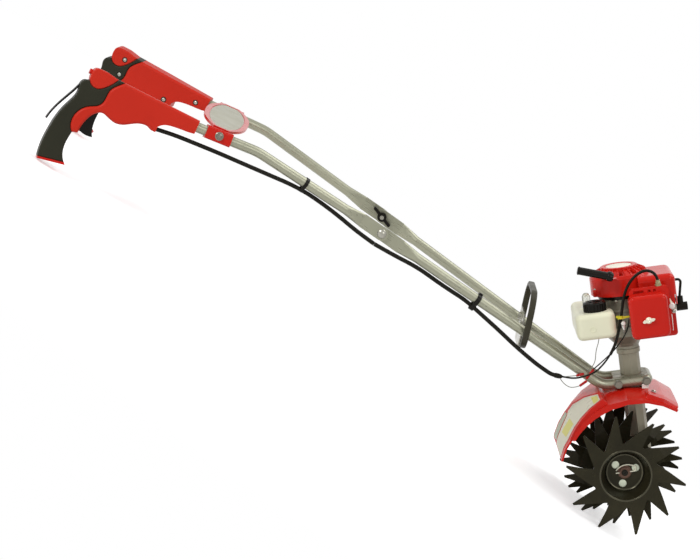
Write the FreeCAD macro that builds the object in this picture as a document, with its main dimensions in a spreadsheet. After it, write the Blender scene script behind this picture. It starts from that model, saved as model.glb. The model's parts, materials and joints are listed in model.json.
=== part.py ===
"""Two-stroke garden tiller: engine, worm drive, four star tines, fender and folding handles.

Every piece is modelled in the working frame of the machine: X forward, Y to the
operator's left, Z up, with the origin on the tine axle and the drive column upright.
The whole machine is then laid back as it is parked, on its tines and the heels of
both grips.  Lengths are in millimetres and angles in degrees.
"""
import FreeCAD, Part
import math
import os
import Sketcher

Vector = FreeCAD.Vector
Rotation = FreeCAD.Rotation
Placement = FreeCAD.Placement

UP = Vector(0, 0, 1)
LEFT = Vector(0, 1, 0)
FORWARD = Vector(1, 0, 0)

SIZES = [
    # tines
    ("tine_tip", 114, "tip radius of a star tine"),
    ("tine_root", 63, "radius at the foot of the teeth"),
    ("tine_plate", 3, "plate thickness"),
    ("tooth_count", 10, "teeth on one star, an even number"),
    ("tooth_lean", 14, "angle from a tooth's tip back to its foot"),
    ("tooth_foot", 37, "width of a tooth at its foot"),
    ("tooth_point", 4, "width of a tooth at its tip"),
    ("tooth_bend", 9, "sideways bend of a tooth's tip"),
    ("tine_joint", 70.5, "plane where two dishes meet, from the middle"),
    ("dish_deep", 33, "depth of a dish"),
    ("dish_floor", 36.4, "radius of the flat floor of a dish"),
    ("dish_mouth", 47.2, "radius of the mouth of a dish"),
    # axle and hubs
    ("axle_dia", 12, "tine axle"),
    ("axle_half", 82, "half length of the axle"),
    ("axle_gap", 0.25, "running gap round the axle"),
    ("hub_dia", 20, "outside of a hub tube"),
    ("hub_inner", 31, "inner end of a hub, from the middle"),
    ("hub_outer", 79, "outer end of a hub, from the middle"),
    ("clip_wire", 2.6, "wire of the hairpin clip"),
    ("clip_place", 76, "plane of the clip, from the middle"),
    # worm drive and column
    ("case_rad", 33, "worm wheel housing, radius"),
    ("case_half", 16, "worm wheel housing, half width"),
    ("boss_rad", 15, "axle boss, radius"),
    ("boss_half", 27, "axle boss, half length over both"),
    ("worm_axis", 38.5, "drive shaft in front of the axle"),
    ("worm_rad", 22, "worm housing, radius"),
    ("worm_low", 34, "foot of the worm housing below the axle"),
    ("worm_high", 52, "shoulder of the worm housing"),
    ("column_rad", 20, "corner radius of the eight-sided column"),
    ("column_top", 226, "top of the column"),
    ("bell_rad", 39, "clutch bell, radius"),
    ("bell_low", 253, "foot of the straight bell wall"),
    ("bell_top", 272, "top flange of the bell"),
    # engine
    ("crank_rad", 38, "crankcase, radius"),
    ("crank_top", 334, "top of the crankcase"),
    ("barrel_axis", 292, "height of the cylinder axis"),
    ("barrel_rad", 21, "cylinder barrel, radius"),
    ("barrel_end", 124, "front end of the cylinder head"),
    ("fin_rad", 33, "cooling fins, radius"),
    ("fin_thick", 2, "cooling fin, thickness"),
    ("fin_pitch", 7, "cooling fin, pitch"),
    ("starter_rad", 58, "starter housing, radius"),
    ("starter_low", 336, "lower rim of the starter housing"),
    ("starter_wall", 368, "top of its straight wall"),
    ("starter_top", 386, "top of the starter housing"),
    ("starter_cap", 36, "radius of the raised centre"),
    ("slot_count", 12, "air slots round the starter"),
    ("cover_half", 60, "engine cover, half width"),
    ("cover_front", 139, "front face of the engine cover"),
    ("cover_low", 308, "lower edge of the engine cover"),
    ("cover_top", 368, "top of the engine cover"),
    ("cover_round", 12, "rounding of the engine cover"),
    ("lead_high", 345, "height of the ignition lead at the cover"),
    ("tray_low", 247, "underside of the lower cover"),
    ("tray_step", 276, "upper edge of its sides, beside the carburettor"),
    ("tray_top", 300, "upper edge of the lower cover at the front"),
    ("tray_front", 133, "front face of the lower cover"),
    ("tray_back", 81, "rear edge of the lower cover"),
    ("skin", 2.5, "wall of the moulded covers"),
    ("filter_left", 42, "rear end of the air filter cover, along X"),
    ("filter_right", 115, "front end of the air filter cover, along X"),
    ("filter_low", 261, "underside of the air filter cover"),
    ("filter_high", 343, "top of the air filter cover"),
    ("filter_lip", 11, "how far the air filter base stands above its cover"),
    ("filter_face", 125, "outer face of the air filter cover"),
    ("filter_back", 98, "back of the air filter cover"),
    ("filter_plate", 86, "back of the air filter base"),
    ("tank_back", 59, "rear face of the fuel tank behind the axle"),
    ("tank_lobe", 16, "front face of the tank's filler end"),
    ("tank_right", 98, "right end of the fuel tank"),
    ("tank_left", 66, "left end of the fuel tank"),
    ("tank_low", 266, "underside of the fuel tank"),
    ("tank_high", 316, "top of the fuel tank"),
    ("cap_rad", 22, "fuel cap, radius"),
    ("cap_high", 17, "fuel cap, height"),
    # fender
    ("hood_axis_x", 20, "centre of the side arc, along X"),
    ("hood_axis_z", -8, "centre of the side arc, along Z"),
    ("hood_rad", 154, "radius of the fender's outer edge"),
    ("hood_half", 108, "half width of the fender"),
    ("hood_ledge", 95, "half width inside the ledge along each edge"),
    ("tail_half", 100, "half width of the tail"),
    ("saddle_half", 47, "half width of the flat saddle under the handle"),
    # handles
    ("tube_dia", 19, "handle tube"),
    ("bow_half", 38, "handle tube beside the column"),
    ("bow_high", 166, "height of the handle tube beside the column"),
    ("bow_front", "=column_rad + 47", "front of the bow round the column"),
    ("bow_wall", 8, "depth of the flattened front of the bow"),
    ("fold_back", 400, "fold axis behind the axle"),
    ("fold_high", 523, "fold axis above the axle"),
    ("lower_rise", 43.35, "rise of the lower handle"),
    ("upper_rise", 42.5, "rise of the upper handle"),
    ("splay", 11.8, "splay of each handle in plan"),
    ("tongue_thick", 6, "flattened end of a handle tube"),
    ("tongue_high", 26, "height of a flattened end"),
    ("tongue_mid", 111, "middle of the lower flattened end"),
    ("tongue_gap", 0.5, "gap between the flattened ends"),
    ("fold_bolt", 8, "fold bolt, diameter"),
    ("grip_back", 710, "front end of the grips behind the axle"),
    ("grip_high", "=fold_high + (grip_back - fold_back) * 251.7 / 310", "front end of the grips above the axle"),
    ("grip_side", 194, "front end of the grips, from the middle"),
    ("grip_rise", 33.5, "rise of the grips"),
    ("grip_over", 92, "length of handle tube inside a grip"),
    ("foot_thick", 4, "thickness of the plate under a pistol grip"),
    ("shell_wide", 34, "grip shell, width"),
    ("handle_wide", 30, "pistol grip, width"),
    ("shell_round", 5, "grip shell, rounding of its edges"),
    ("handle_round", 3, "pistol grip, rounding of its edges"),
    ("lever_wide", 12, "lock-out lever, width"),
    ("cable_dia", 8, "cable sheath"),
    ("wire_dia", 3.4, "throttle cable"),
]

doc = FreeCAD.newDocument("garden_tiller")
sheet = doc.addObject("Spreadsheet::Sheet", "Sizes")
for row, (alias, number, note) in enumerate(SIZES, 1):
    sheet.set("A%d" % row, alias)
    sheet.set("B%d" % row, str(number))
    sheet.set("C%d" % row, note)
    sheet.setAlias("B%d" % row, alias)
doc.recompute()


# --- reading the sheet -------------------------------------------------------

def read(text):
    """Give the value and the bound formula of a sum such as 'dish_deep - tine_plate/2'."""
    total = 0.0
    sign = 1
    formula = ""
    for word in str(text).split():
        if word in "+-":
            sign = 1 if word == "+" else -1
            formula += word
            continue
        product = 1.0
        for factor in word.replace("/", "*/").split("*"):
            divide = factor.startswith("/")
            name = factor.lstrip("/")
            known = name.replace(".", "").isdigit()
            number = float(name) if known else float(sheet.get(name))
            product = product / number if divide else product * number
            formula += ("/" if divide else "*" if formula and formula[-1] not in "+-" else "")
            formula += name if known else "Sizes." + name
        total += sign * product
    return total, formula


def size(text):
    """Value of a sheet formula."""
    return read(text)[0]


def bind(thing, prop, text):
    """Tie a property to the sheet."""
    thing.setExpression(prop, read(text)[1])


# --- the parked position ------------------------------------------------------

GRIP_FRONT = Vector(-size("grip_back"), 0, size("grip_high"))
HEEL = (242.5, -173.4)
LEVER_BACK = [(228.4, -19), (238, -42), (247.5, -63), (254.5, -82), (258.5, -100)]
LEVER_FRONT = [(255.5, -101), (251.5, -83), (244.5, -64.5), (235, -44), (226.5, -24)]


def grip_point(along, above):
    """Point of the grip's side view, in the working frame with Y left at zero."""
    rise = math.radians(size("grip_rise"))
    flat = along * math.cos(rise) - above * math.sin(rise)
    high = along * math.sin(rise) + above * math.cos(rise)
    return GRIP_FRONT + Vector(-flat * math.cos(math.radians(size("splay"))), 0, high)


half_step = math.radians(180 / size("tooth_count") / 2)
lift = size("tine_tip") * math.cos(half_step) + size("tooth_point/2") * math.sin(half_step)
aside = math.sin(math.radians(size("splay")))
heel = grip_point(*HEEL) - FORWARD * size("handle_wide/2") * aside
heel_reach = math.hypot(heel.x, heel.z)
LAID_BACK = 180 + math.degrees(math.asin(lift / heel_reach) - math.atan2(heel.z, heel.x))
LAID = Rotation(LEFT, -LAID_BACK)
rear_reach = max(-LAID.multVec(grip_point(*spot) - FORWARD * size("lever_wide/2") * aside).x
                 for spot in LEVER_BACK)
PARKED = Placement(Vector((rear_reach - lift) / 2, 0, lift), LAID)


# --- small building helpers --------------------------------------------------

pieces = []


def finish(piece, label, place=Placement()):
    """Label a sub-part and park it."""
    piece.Label = label
    piece.Placement = PARKED.multiply(place)
    pieces.append(piece)
    return piece


def solid(label, shape, place=Placement()):
    """A sub-part whose shape is worked out here from the sheet."""
    piece = doc.addObject("Part::Feature", label)
    piece.Shape = shape
    return finish(piece, label, place)


def working_shape(label):
    """Shape of a finished piece, back in the working frame."""
    doc.recompute()
    shape = [piece for piece in pieces if piece.Label == label][0].Shape.copy()
    shape.Placement = PARKED.inverse().multiply(shape.Placement)
    return shape


def new_body(label):
    """An empty PartDesign body."""
    return doc.addObject("PartDesign::Body", label)


def datum(body, role):
    """One of the body's own origin planes or axes."""
    return [item for item in body.Origin.OriginFeatures if item.Role == role][0]


def sketch_on(body, name, role, offset=Placement()):
    """An empty sketch on one of the body's own planes."""
    sketch = body.newObject("Sketcher::SketchObject", name)
    sketch.AttachmentSupport = [(datum(body, role), "")]
    sketch.MapMode = "FlatFace"
    sketch.AttachmentOffset = offset
    return sketch


def outline(body, name, role, corners, offset=Placement()):
    """A closed outline of straight lines whose corners are bound to the sheet."""
    sketch = sketch_on(body, name, role, offset)
    places = [(read(across), read(up)) for across, up in corners]
    count = len(places)
    for index, (across, up) in enumerate(places):
        far_across, far_up = places[(index + 1) % count]
        start = Vector(across[0], up[0], 0)
        end = Vector(far_across[0], far_up[0], 0)
        sketch.addGeometry(Part.LineSegment(start, end), False)
    for index in range(count):
        sketch.addConstraint(Sketcher.Constraint("Coincident", index, 2, (index + 1) % count, 1))
    for index, (across, up) in enumerate(places):
        for kind, (number, formula) in (("DistanceX", across), ("DistanceY", up)):
            mark = sketch.addConstraint(Sketcher.Constraint(kind, -1, 1, index, 1, number))
            sketch.setExpression("Constraints[%d]" % mark, formula)
    return sketch


def rings(body, name, role, circles, offset=Placement()):
    """Circles, each given as (across, up, radius) and bound to the sheet."""
    sketch = sketch_on(body, name, role, offset)
    for index, (across, up, radius) in enumerate(circles):
        centre = Vector(size(across), size(up), 0)
        sketch.addGeometry(Part.Circle(centre, Vector(0, 0, 1), size(radius)), False)
        for kind, text in (("DistanceX", across), ("DistanceY", up)):
            number, formula = read(text)
            mark = sketch.addConstraint(Sketcher.Constraint(kind, -1, 1, index, 3, number))
            sketch.setExpression("Constraints[%d]" % mark, formula)
        mark = sketch.addConstraint(Sketcher.Constraint("Radius", index, size(radius)))
        sketch.setExpression("Constraints[%d]" % mark, read(radius)[1])
    return sketch


def freehand(body, name, role, runs, offset=Placement()):
    """A closed outline of runs: two points make a line, more make a smooth curve."""
    sketch = sketch_on(body, name, role, offset)
    for run in runs:
        points = [Vector(across, up, 0) for across, up in run]
        if len(points) == 2:
            sketch.addGeometry(Part.LineSegment(points[0], points[1]), False)
        elif len(points) == 3:
            sketch.addGeometry(Part.Arc(*points), False)
        else:
            curve = Part.BSplineCurve()
            curve.interpolate(points)
            sketch.addGeometry(curve, False)
    return sketch


def pad(body, name, sketch, length, middle=False, back=False):
    """Pad a sketch by a bound length."""
    feature = body.newObject("PartDesign::Pad", name)
    feature.Profile = sketch
    feature.Length = size(length)
    bind(feature, "Length", length)
    feature.Midplane = middle
    feature.Reversed = back
    return feature


def pocket(body, name, sketch, length, middle=False, back=False):
    """Cut a sketch out by a bound depth."""
    feature = body.newObject("PartDesign::Pocket", name)
    feature.Profile = sketch
    feature.Length = size(length)
    bind(feature, "Length", length)
    feature.Midplane = middle
    feature.Reversed = back
    return feature


def revolve(body, name, sketch):
    """Turn a sketch once round its own vertical axis."""
    feature = body.newObject("PartDesign::Revolution", name)
    feature.Profile = sketch
    feature.ReferenceAxis = (sketch, ["V_Axis"])
    feature.Angle = 360
    return feature


def ring_pattern(body, name, originals, count):
    """Repeat features round the body's own vertical axis."""
    pattern = body.newObject("PartDesign::PolarPattern", name)
    pattern.Originals = originals
    pattern.Axis = (datum(body, "Z_Axis"), [""])
    pattern.Angle = 360
    pattern.Occurrences = int(size(count))
    bind(pattern, "Occurrences", count)
    body.Tip = pattern
    return pattern


def round_edges(body, name, base, radius, wanted):
    """Fillet the edges of a feature that pass a test."""
    doc.recompute()
    names = ["Edge%d" % number for number, edge in enumerate(base.Shape.Edges, 1) if wanted(edge)]
    feature = body.newObject("PartDesign::Fillet", name)
    feature.Base = (base, names)
    feature.Radius = size(radius)
    bind(feature, "Radius", radius)
    return feature


def crosses_y(edge):
    """True when an edge runs across the machine."""
    return abs(edge.Vertexes[0].Point.y - edge.Vertexes[-1].Point.y) > 1


def on_side(edge, half):
    """True when an edge lies on either flat side of a grip."""
    return on_plane(edge, "z", half) or on_plane(edge, "z", -half)


def on_plane(edge, axis, place):
    """True when an edge lies in the plane axis = place."""
    return all(abs(getattr(vertex.Point, axis) - place) < 0.01 for vertex in edge.Vertexes)


def bar(points, width, bend):
    """A round bar along straight runs joined by tangent arcs of one radius."""
    edges = []
    start = points[0]
    for before, corner, after in zip(points, points[1:], points[2:]):
        inward = (before - corner).normalize()
        onward = (after - corner).normalize()
        half = inward.getAngle(onward) / 2
        setback = bend / math.tan(half)
        middle = (inward + onward).normalize()
        centre = corner + middle * (bend / math.sin(half))
        first = corner + inward * setback
        last = corner + onward * setback
        edges.append(Part.LineSegment(start, first).toShape())
        edges.append(Part.Arc(first, centre - middle * bend, last).toShape())
        start = last
    edges.append(Part.LineSegment(start, points[-1]).toShape())
    path = Part.Wire(edges)
    ring = Part.Circle(points[0], points[1] - points[0], width / 2).toShape()
    return path.makePipeShell([Part.Wire([ring])], True, False)


def cord(points, width):
    """A cord's tube: at each point an arc as large as its two runs allow."""
    edges = []
    start = points[0]
    for before, corner, after in zip(points, points[1:], points[2:]):
        inward = before - corner
        onward = after - corner
        setback = 0.45 * min(inward.Length, onward.Length)
        inward.normalize()
        onward.normalize()
        half = inward.getAngle(onward) / 2
        radius = setback * math.tan(half)
        middle = (inward + onward).normalize()
        centre = corner + middle * (radius / math.sin(half))
        first = corner + inward * setback
        last = corner + onward * setback
        edges.append(Part.LineSegment(start, first).toShape())
        edges.append(Part.Arc(first, centre - middle * radius, last).toShape())
        print("cord radius %.0f" % radius)
        start = last
    edges.append(Part.LineSegment(start, points[-1]).toShape())
    path = Part.Wire(edges)
    ring = Part.Circle(points[0], points[1] - points[0], width / 2).toShape()
    tube = path.makePipeShell([Part.Wire([ring])], True, False)
    section = math.pi * width ** 2 / 4
    print("cord volume over section times length %.4f" % (tube.Volume / (section * path.Length)))
    return tube


def drum(start, way, radius, length):
    """A plain cylinder."""
    return Part.makeCylinder(radius, length, start, way)


def plus(first, *others):
    """Join shapes into one."""
    return first.multiFuse(list(others)).removeSplitter()


# --- tines --------------------------------------------------------------------

def tooth_section(body, name, turn, reach, wide, thick, side):
    """Cross-section of a tooth, square to the direction 'turn' at distance 'reach'."""
    angle = math.radians(turn)
    spot = Vector(reach * math.sin(angle), 0, reach * math.cos(angle))
    offset = Placement(spot, Rotation(Vector(0, 1, 0), turn))
    low = side + " - " + thick + "/2"
    high = side + " + " + thick + "/2"
    corners = [("- " + wide + "/2", low), (wide + "/2", low), (wide + "/2", high), ("- " + wide + "/2", high)]
    return outline(body, name, "YZ_Plane", corners, offset)


def tine_star(label, plane, dish_way, phase):
    """One dished star; the dish sinks towards dish_way and phase turns the teeth."""
    body = new_body(label)
    wall = "1.07*tine_plate"
    dish = outline(body, "dish_outline", "XZ_Plane", [
        ("hub_dia/2", "dish_deep - tine_plate/2"),
        ("dish_floor", "dish_deep - tine_plate/2"),
        ("dish_mouth", "- tine_plate/2"),
        ("tine_root", "- tine_plate/2"),
        ("tine_root", "tine_plate/2"),
        ("dish_mouth + " + wall, "tine_plate/2"),
        ("dish_floor + " + wall, "dish_deep + tine_plate/2"),
        ("hub_dia/2", "dish_deep + tine_plate/2"),
    ])
    revolve(body, "dish", dish)
    pitch = 360 / size("tooth_count")
    lean = -dish_way * size("tooth_lean")
    foot = size("tine_root") * 0.92
    bend_at = size("tine_root") + 0.35 * (size("tine_tip") - size("tine_root"))
    for order, side in ((0, "tooth_bend"), (1, "- tooth_bend")):
        start = order * pitch - dish_way * phase
        aside = "0.1*tooth_bend" if order == 0 else "- 0.1*tooth_bend"
        root = tooth_section(body, "foot_%d" % order, start + lean, foot, "tooth_foot", "tine_plate", "0")
        middle = tooth_section(body, "bend_%d" % order, start + 0.42 * lean, bend_at,
                               "0.6*tooth_foot", "tine_plate", aside)
        tip = tooth_section(body, "tip_%d" % order, start, size("tine_tip"),
                            "tooth_point", "0.7*tine_plate", side)
        tooth = body.newObject("PartDesign::AdditiveLoft", "tooth_%d" % order)
        tooth.Profile = root
        tooth.Sections = [middle, tip]
        tooth.Ruled = True
        ring_pattern(body, "teeth_%d" % order, [tooth], "tooth_count/2")
    facing = Rotation(FORWARD, -90 * dish_way)
    finish(body, label, Placement(Vector(0, plane, 0), facing))


def tine_hub(label, side):
    """Tube that carries two stars on the axle, with the cross hole of its clip."""
    start = Vector(0, side * size("hub_inner"), 0)
    way = Vector(0, side, 0)
    length = size("hub_outer - hub_inner")
    tube = drum(start, way, size("hub_dia/2"), length)
    bore = drum(start, way, size("axle_dia/2"), length)
    return solid(label, tube.cut(bore).cut(clip_hole(side)))


def clip_hole(side):
    """Cross hole for the hairpin clip, through hub and axle."""
    spot = Vector(-size("hub_dia"), side * size("clip_place"), 0)
    return drum(spot, FORWARD, size("clip_wire/2"), 2 * size("hub_dia"))


def hairpin(label, side):
    """Hairpin clip: a straight leg through the hub, a loop and a springy leg round it."""
    hub = size("hub_dia/2")
    plane = side * size("clip_place")
    wire = size("clip_wire/2")

    def at(across, up):
        return Vector(across, plane, up)

    loop = hub * 0.55
    clear = hub + 1.5 * wire
    leg = Part.LineSegment(at(-hub * 1.7, 0), at(hub * 1.7, 0)).toShape()
    turn = Part.Arc(at(hub * 1.7, 0), at(hub * 1.7 + loop, loop), at(hub * 1.7, 2 * loop)).toShape()
    back = Part.Arc(at(hub * 1.7, 2 * loop), at(0, clear + 0.35 * loop), at(-hub * 1.6, hub * 0.5)).toShape()
    ring = Part.Circle(at(-hub * 1.7, 0), FORWARD, wire).toShape()
    first = Part.Wire([leg, turn]).makePipeShell([Part.Wire([ring])], True, False)
    tangent = back.tangentAt(back.FirstParameter)
    second_ring = Part.Circle(at(hub * 1.7, 2 * loop), tangent, wire).toShape()
    second = Part.Wire([back]).makePipeShell([Part.Wire([second_ring])], True, False)
    knee = Part.makeSphere(wire, at(hub * 1.7, 2 * loop))
    return solid(label, plus(first, second, knee))


axle = drum(Vector(0, -size("axle_half"), 0), LEFT, size("axle_dia/2"), 2 * size("axle_half"))
solid("axle", axle.cut(clip_hole(-1)).cut(clip_hole(1)))

step = 180 / size("tooth_count")
OUTER_PHASE = 270 + step / 2 - LAID_BACK
INNER_PHASE = OUTER_PHASE - step
star_gap = size("dish_deep + tine_plate/2")
for name, side, outer, inner in (
        ("right", -1, OUTER_PHASE, INNER_PHASE),
        ("left", 1, INNER_PHASE, OUTER_PHASE)):
    tine_star("tine_outer_" + name, side * (size("tine_joint") + star_gap), -side, outer)
    tine_star("tine_inner_" + name, side * (size("tine_joint") - star_gap), side, inner)
    tine_hub("tine_hub_" + name, side)
    hairpin("hairpin_" + name, side)


# --- worm drive, column and clutch bell ----------------------------------------

def build_gearcase():
    """Worm wheel housing, worm housing and eight-sided column in one casting."""
    body = new_body("gearcase")
    wheel = outline(body, "wheel_outline", "YZ_Plane", [
        ("- boss_half", "axle_dia/2 + axle_gap"),
        ("- boss_half", "boss_rad"),
        ("- case_half - 3", "boss_rad + 3"),
        ("- case_half", "case_rad - 4"),
        ("- case_half + 4", "case_rad"),
        ("case_half - 4", "case_rad"),
        ("case_half", "case_rad - 4"),
        ("case_half + 3", "boss_rad + 3"),
        ("boss_half", "boss_rad"),
        ("boss_half", "axle_dia/2 + axle_gap"),
    ])
    housing = body.newObject("PartDesign::Revolution", "wheel_housing")
    housing.Profile = wheel
    housing.ReferenceAxis = (wheel, ["H_Axis"])
    housing.Angle = 360
    worm_place = Placement(Vector(0, 0, -size("worm_low")), Rotation())
    worm = rings(body, "worm_circle", "XY_Plane", [("worm_axis", "0", "worm_rad")], worm_place)
    worm_pad = pad(body, "worm_housing", worm, "worm_low + worm_high")
    round_edges(body, "worm_round", worm_pad, "4", lambda edge: (
        on_plane(edge, "z", -size("worm_low")) or on_plane(edge, "z", size("worm_high"))))
    corners = []
    for index in range(8):
        share_x, share_y = math.cos(math.radians(45 * index)), math.sin(math.radians(45 * index))
        corners.append((
            "worm_axis %s %.5f*column_rad" % ("-" if share_x < 0 else "+", abs(share_x)),
            "%s %.5f*column_rad" % ("-" if share_y < 0 else "+", abs(share_y)),
        ))
    column = outline(body, "column_outline", "XY_Plane", corners)
    pad(body, "column", column, "column_top")
    bore = rings(body, "axle_circle", "XZ_Plane", [("0", "0", "axle_dia/2 + axle_gap")])
    pocket(body, "axle_bore", bore, "4*boss_half", middle=True)
    return finish(body, "gearcase")


build_gearcase()


def build_bell():
    """Clutch bell between the column and the crankcase."""
    body = new_body("clutch_housing")
    profile = outline(body, "bell_outline", "XZ_Plane", [
        ("0", "column_top"),
        ("column_rad + 1.5", "column_top"),
        ("column_rad + 1.5", "column_top + 5"),
        ("column_rad + 5", "column_top + 11"),
        ("0.85*bell_rad", "column_top + 20"),
        ("bell_rad", "bell_low"),
        ("bell_rad", "bell_top - 6"),
        ("bell_rad + 4", "bell_top - 6"),
        ("bell_rad + 4", "bell_top"),
        ("0", "bell_top"),
    ])
    revolve(body, "bell", profile)
    return finish(body, "clutch_housing", Placement(Vector(size("worm_axis"), 0, 0), Rotation()))


build_bell()


# --- engine --------------------------------------------------------------------

CRANK = Vector(size("worm_axis"), 0, 0)


def crank_point(high, along=0, side=0):
    """A point set off from the crankshaft."""
    return CRANK + Vector(along, side, high)


def build_engine_block():
    """Crankcase and finned cylinder barrel."""
    low = size("bell_top")
    case = drum(crank_point(low), UP, size("crank_rad"), size("crank_top") - low)
    axis = Vector(size("worm_axis"), 0, size("barrel_axis"))
    barrel = drum(axis, FORWARD, size("barrel_rad"), size("barrel_end - worm_axis"))
    parts = [case, barrel]
    first = size("worm_axis + crank_rad + 4")
    count = int((size("barrel_end - fin_thick") - first) / size("fin_pitch"))
    for index in range(count + 1):
        place = Vector(first + index * size("fin_pitch"), 0, size("barrel_axis"))
        fin = drum(place, FORWARD, size("fin_rad"), size("fin_thick"))
        parts.append(fin)
    block = plus(*parts)
    above = Part.makeBox(200, 200, 100, Vector(0, -100, size("crank_top")))
    thread = drum(Vector(size("barrel_end - 12"), 0, size("barrel_axis")), FORWARD, 7, 20)
    bell = drum(crank_point(size("bell_low")), UP, size("bell_rad") + 5.6, low - size("bell_low"))
    return solid("engine_block", block.cut(above).cut(thread).cut(bell))


build_engine_block()


def build_starter_housing():
    """Round recoil starter with a ring of air slots round its raised centre."""
    body = new_body("starter_housing")
    profile = outline(body, "starter_outline", "XZ_Plane", [
        ("0", "starter_low"),
        ("starter_rad", "starter_low"),
        ("starter_rad", "starter_wall"),
        ("starter_rad - 3", "starter_wall + 5"),
        ("starter_rad - 9", "starter_wall + 8"),
        ("starter_cap", "starter_top - 4"),
        ("starter_cap", "starter_top"),
        ("0", "starter_top"),
    ])
    revolve(body, "starter", profile)
    slot_plane = Placement(Vector(0, 0, size("starter_top")), Rotation())
    slot = outline(body, "slot_outline", "XY_Plane", [
        ("starter_cap + 2", "- 2.5"),
        ("starter_rad - 6", "- 4"),
        ("starter_rad - 6", "4"),
        ("starter_cap + 2", "2.5"),
    ], slot_plane)
    cut = pocket(body, "air_slot", slot, "starter_top - starter_wall + 3")
    ring_pattern(body, "air_slots", [cut], "slot_count")
    return finish(body, "starter_housing", Placement(CRANK, Rotation()))


build_starter_housing()


PLUG_WINDOW = 17


def build_engine_cover():
    """Moulded cover over the cylinder, open for the spark plug."""
    body = new_body("engine_cover")
    plane = Placement(Vector(0, 0, size("cover_low")), Rotation())
    plan = outline(body, "cover_plan", "XY_Plane", [
        ("worm_axis + 30", "- cover_half"),
        ("cover_front", "- cover_half"),
        ("cover_front", "cover_half"),
        ("worm_axis + 30", "cover_half"),
    ], plane)
    block = pad(body, "cover_block", plan, "cover_top - cover_low")
    front = size("cover_front")
    top = size("cover_top")
    half = size("cover_half")

    def outer(edge):
        upright = on_plane(edge, "x", front) and (on_plane(edge, "y", half) or on_plane(edge, "y", -half))
        upper = on_plane(edge, "z", top) and not on_plane(edge, "x", size("worm_axis + 30"))
        return upright or upper

    round_edges(body, "cover_round_edges", block, "cover_round", outer)
    cavity = outline(body, "cover_cavity", "XY_Plane", [
        ("worm_axis + 30 - skin", "- cover_half + skin"),
        ("cover_front - skin", "- cover_half + skin"),
        ("cover_front - skin", "cover_half - skin"),
        ("worm_axis + 30 - skin", "cover_half - skin"),
    ], plane)
    pocket(body, "cover_hollow", cavity, "fin_rad + barrel_axis - cover_low + 2", back=True)
    seat = rings(body, "starter_seat", "XY_Plane", [("worm_axis", "0", "starter_rad + 0.2")], plane)
    pocket(body, "starter_room", seat, "cover_top - cover_low", back=True)
    window = rings(body, "plug_window", "YZ_Plane", [("0", "barrel_axis + 3", str(PLUG_WINDOW))],
                   Placement(Vector(0, 0, front), Rotation()))
    pocket(body, "plug_opening", window, "3*skin", middle=True)
    lead = rings(body, "lead_window", "YZ_Plane", [("0", "lead_high", "3.7")],
                 Placement(Vector(0, 0, front), Rotation()))
    pocket(body, "lead_opening", lead, "3*skin", middle=True)
    return finish(body, "engine_cover")


def build_lower_cover():
    """Tray under the cylinder, open on top and to the rear, with a notch for the spark plug."""
    back, front, low = size("tray_back"), size("tray_front"), size("tray_low")
    half, skin = size("cover_half - 4"), size("skin")

    def tub(inset, bend):
        """Box with rounded lower edges, set in by the wall everywhere but at the rear."""
        wide = 2 * (half - inset)
        corner = Vector(back, inset - half, low + inset)
        box = Part.makeBox(front - inset - back, wide, size("tray_top") - low, corner)
        return box.makeFillet(bend, [edge for edge in box.Edges if on_plane(edge, "z", low + inset)
                                     and not on_plane(edge, "x", back)])

    tray = tub(0, 8).cut(tub(skin, 6))
    room = Part.makeBox(size("filter_right") - 4 - back, 2 * half, 2 * half,
                        Vector(back, -half, size("tray_step")))
    plug = drum(Vector(front - 10, 0, size("barrel_axis") + 3), FORWARD, PLUG_WINDOW, 20)
    above = Part.makeBox(2 * half, 2 * half, half, Vector(back, -half, size("tray_top")))
    return solid("lower_cover", tray.cut(room).cut(plug).cut(above))


build_engine_cover()
build_lower_cover()


def build_plug():
    """Spark plug with its hexagon, and the angled boot and lead."""
    axis = size("barrel_axis")
    end = size("barrel_end")
    hexagon = Part.makePolygon([Vector(end, 10.4 * math.cos(math.radians(60 * turn)),
                                       axis + 10.4 * math.sin(math.radians(60 * turn)))
                                for turn in range(7)])
    nut = Part.Face(hexagon).extrude(Vector(8, 0, 0))
    thread = drum(Vector(end - 12, 0, axis), FORWARD, 7, 12)
    ceramic = drum(Vector(end + 8, 0, axis), FORWARD, 5, 8)
    solid("spark_plug", plus(nut, thread, ceramic))
    sleeve = drum(Vector(end + 16, 0, axis), FORWARD, 8, 21)
    knee = drum(Vector(end + 24, 0, axis), UP, 6, 20)
    boot = plus(sleeve, knee)
    solid("plug_boot", boot)
    start = Vector(end + 24, 0, axis + 20)
    top = Vector(end + 30, 0, size("lead_high"))
    inside = Vector(size("cover_front - skin"), 0, size("lead_high"))
    solid("ignition_lead", bar([start, top, inside], 5, 6).cut(boot))


build_plug()


CABLE_END = (103, -92, 363)
AIR_SLOTS = [(54, 74), (82, 87), (92, 97)]


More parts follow.
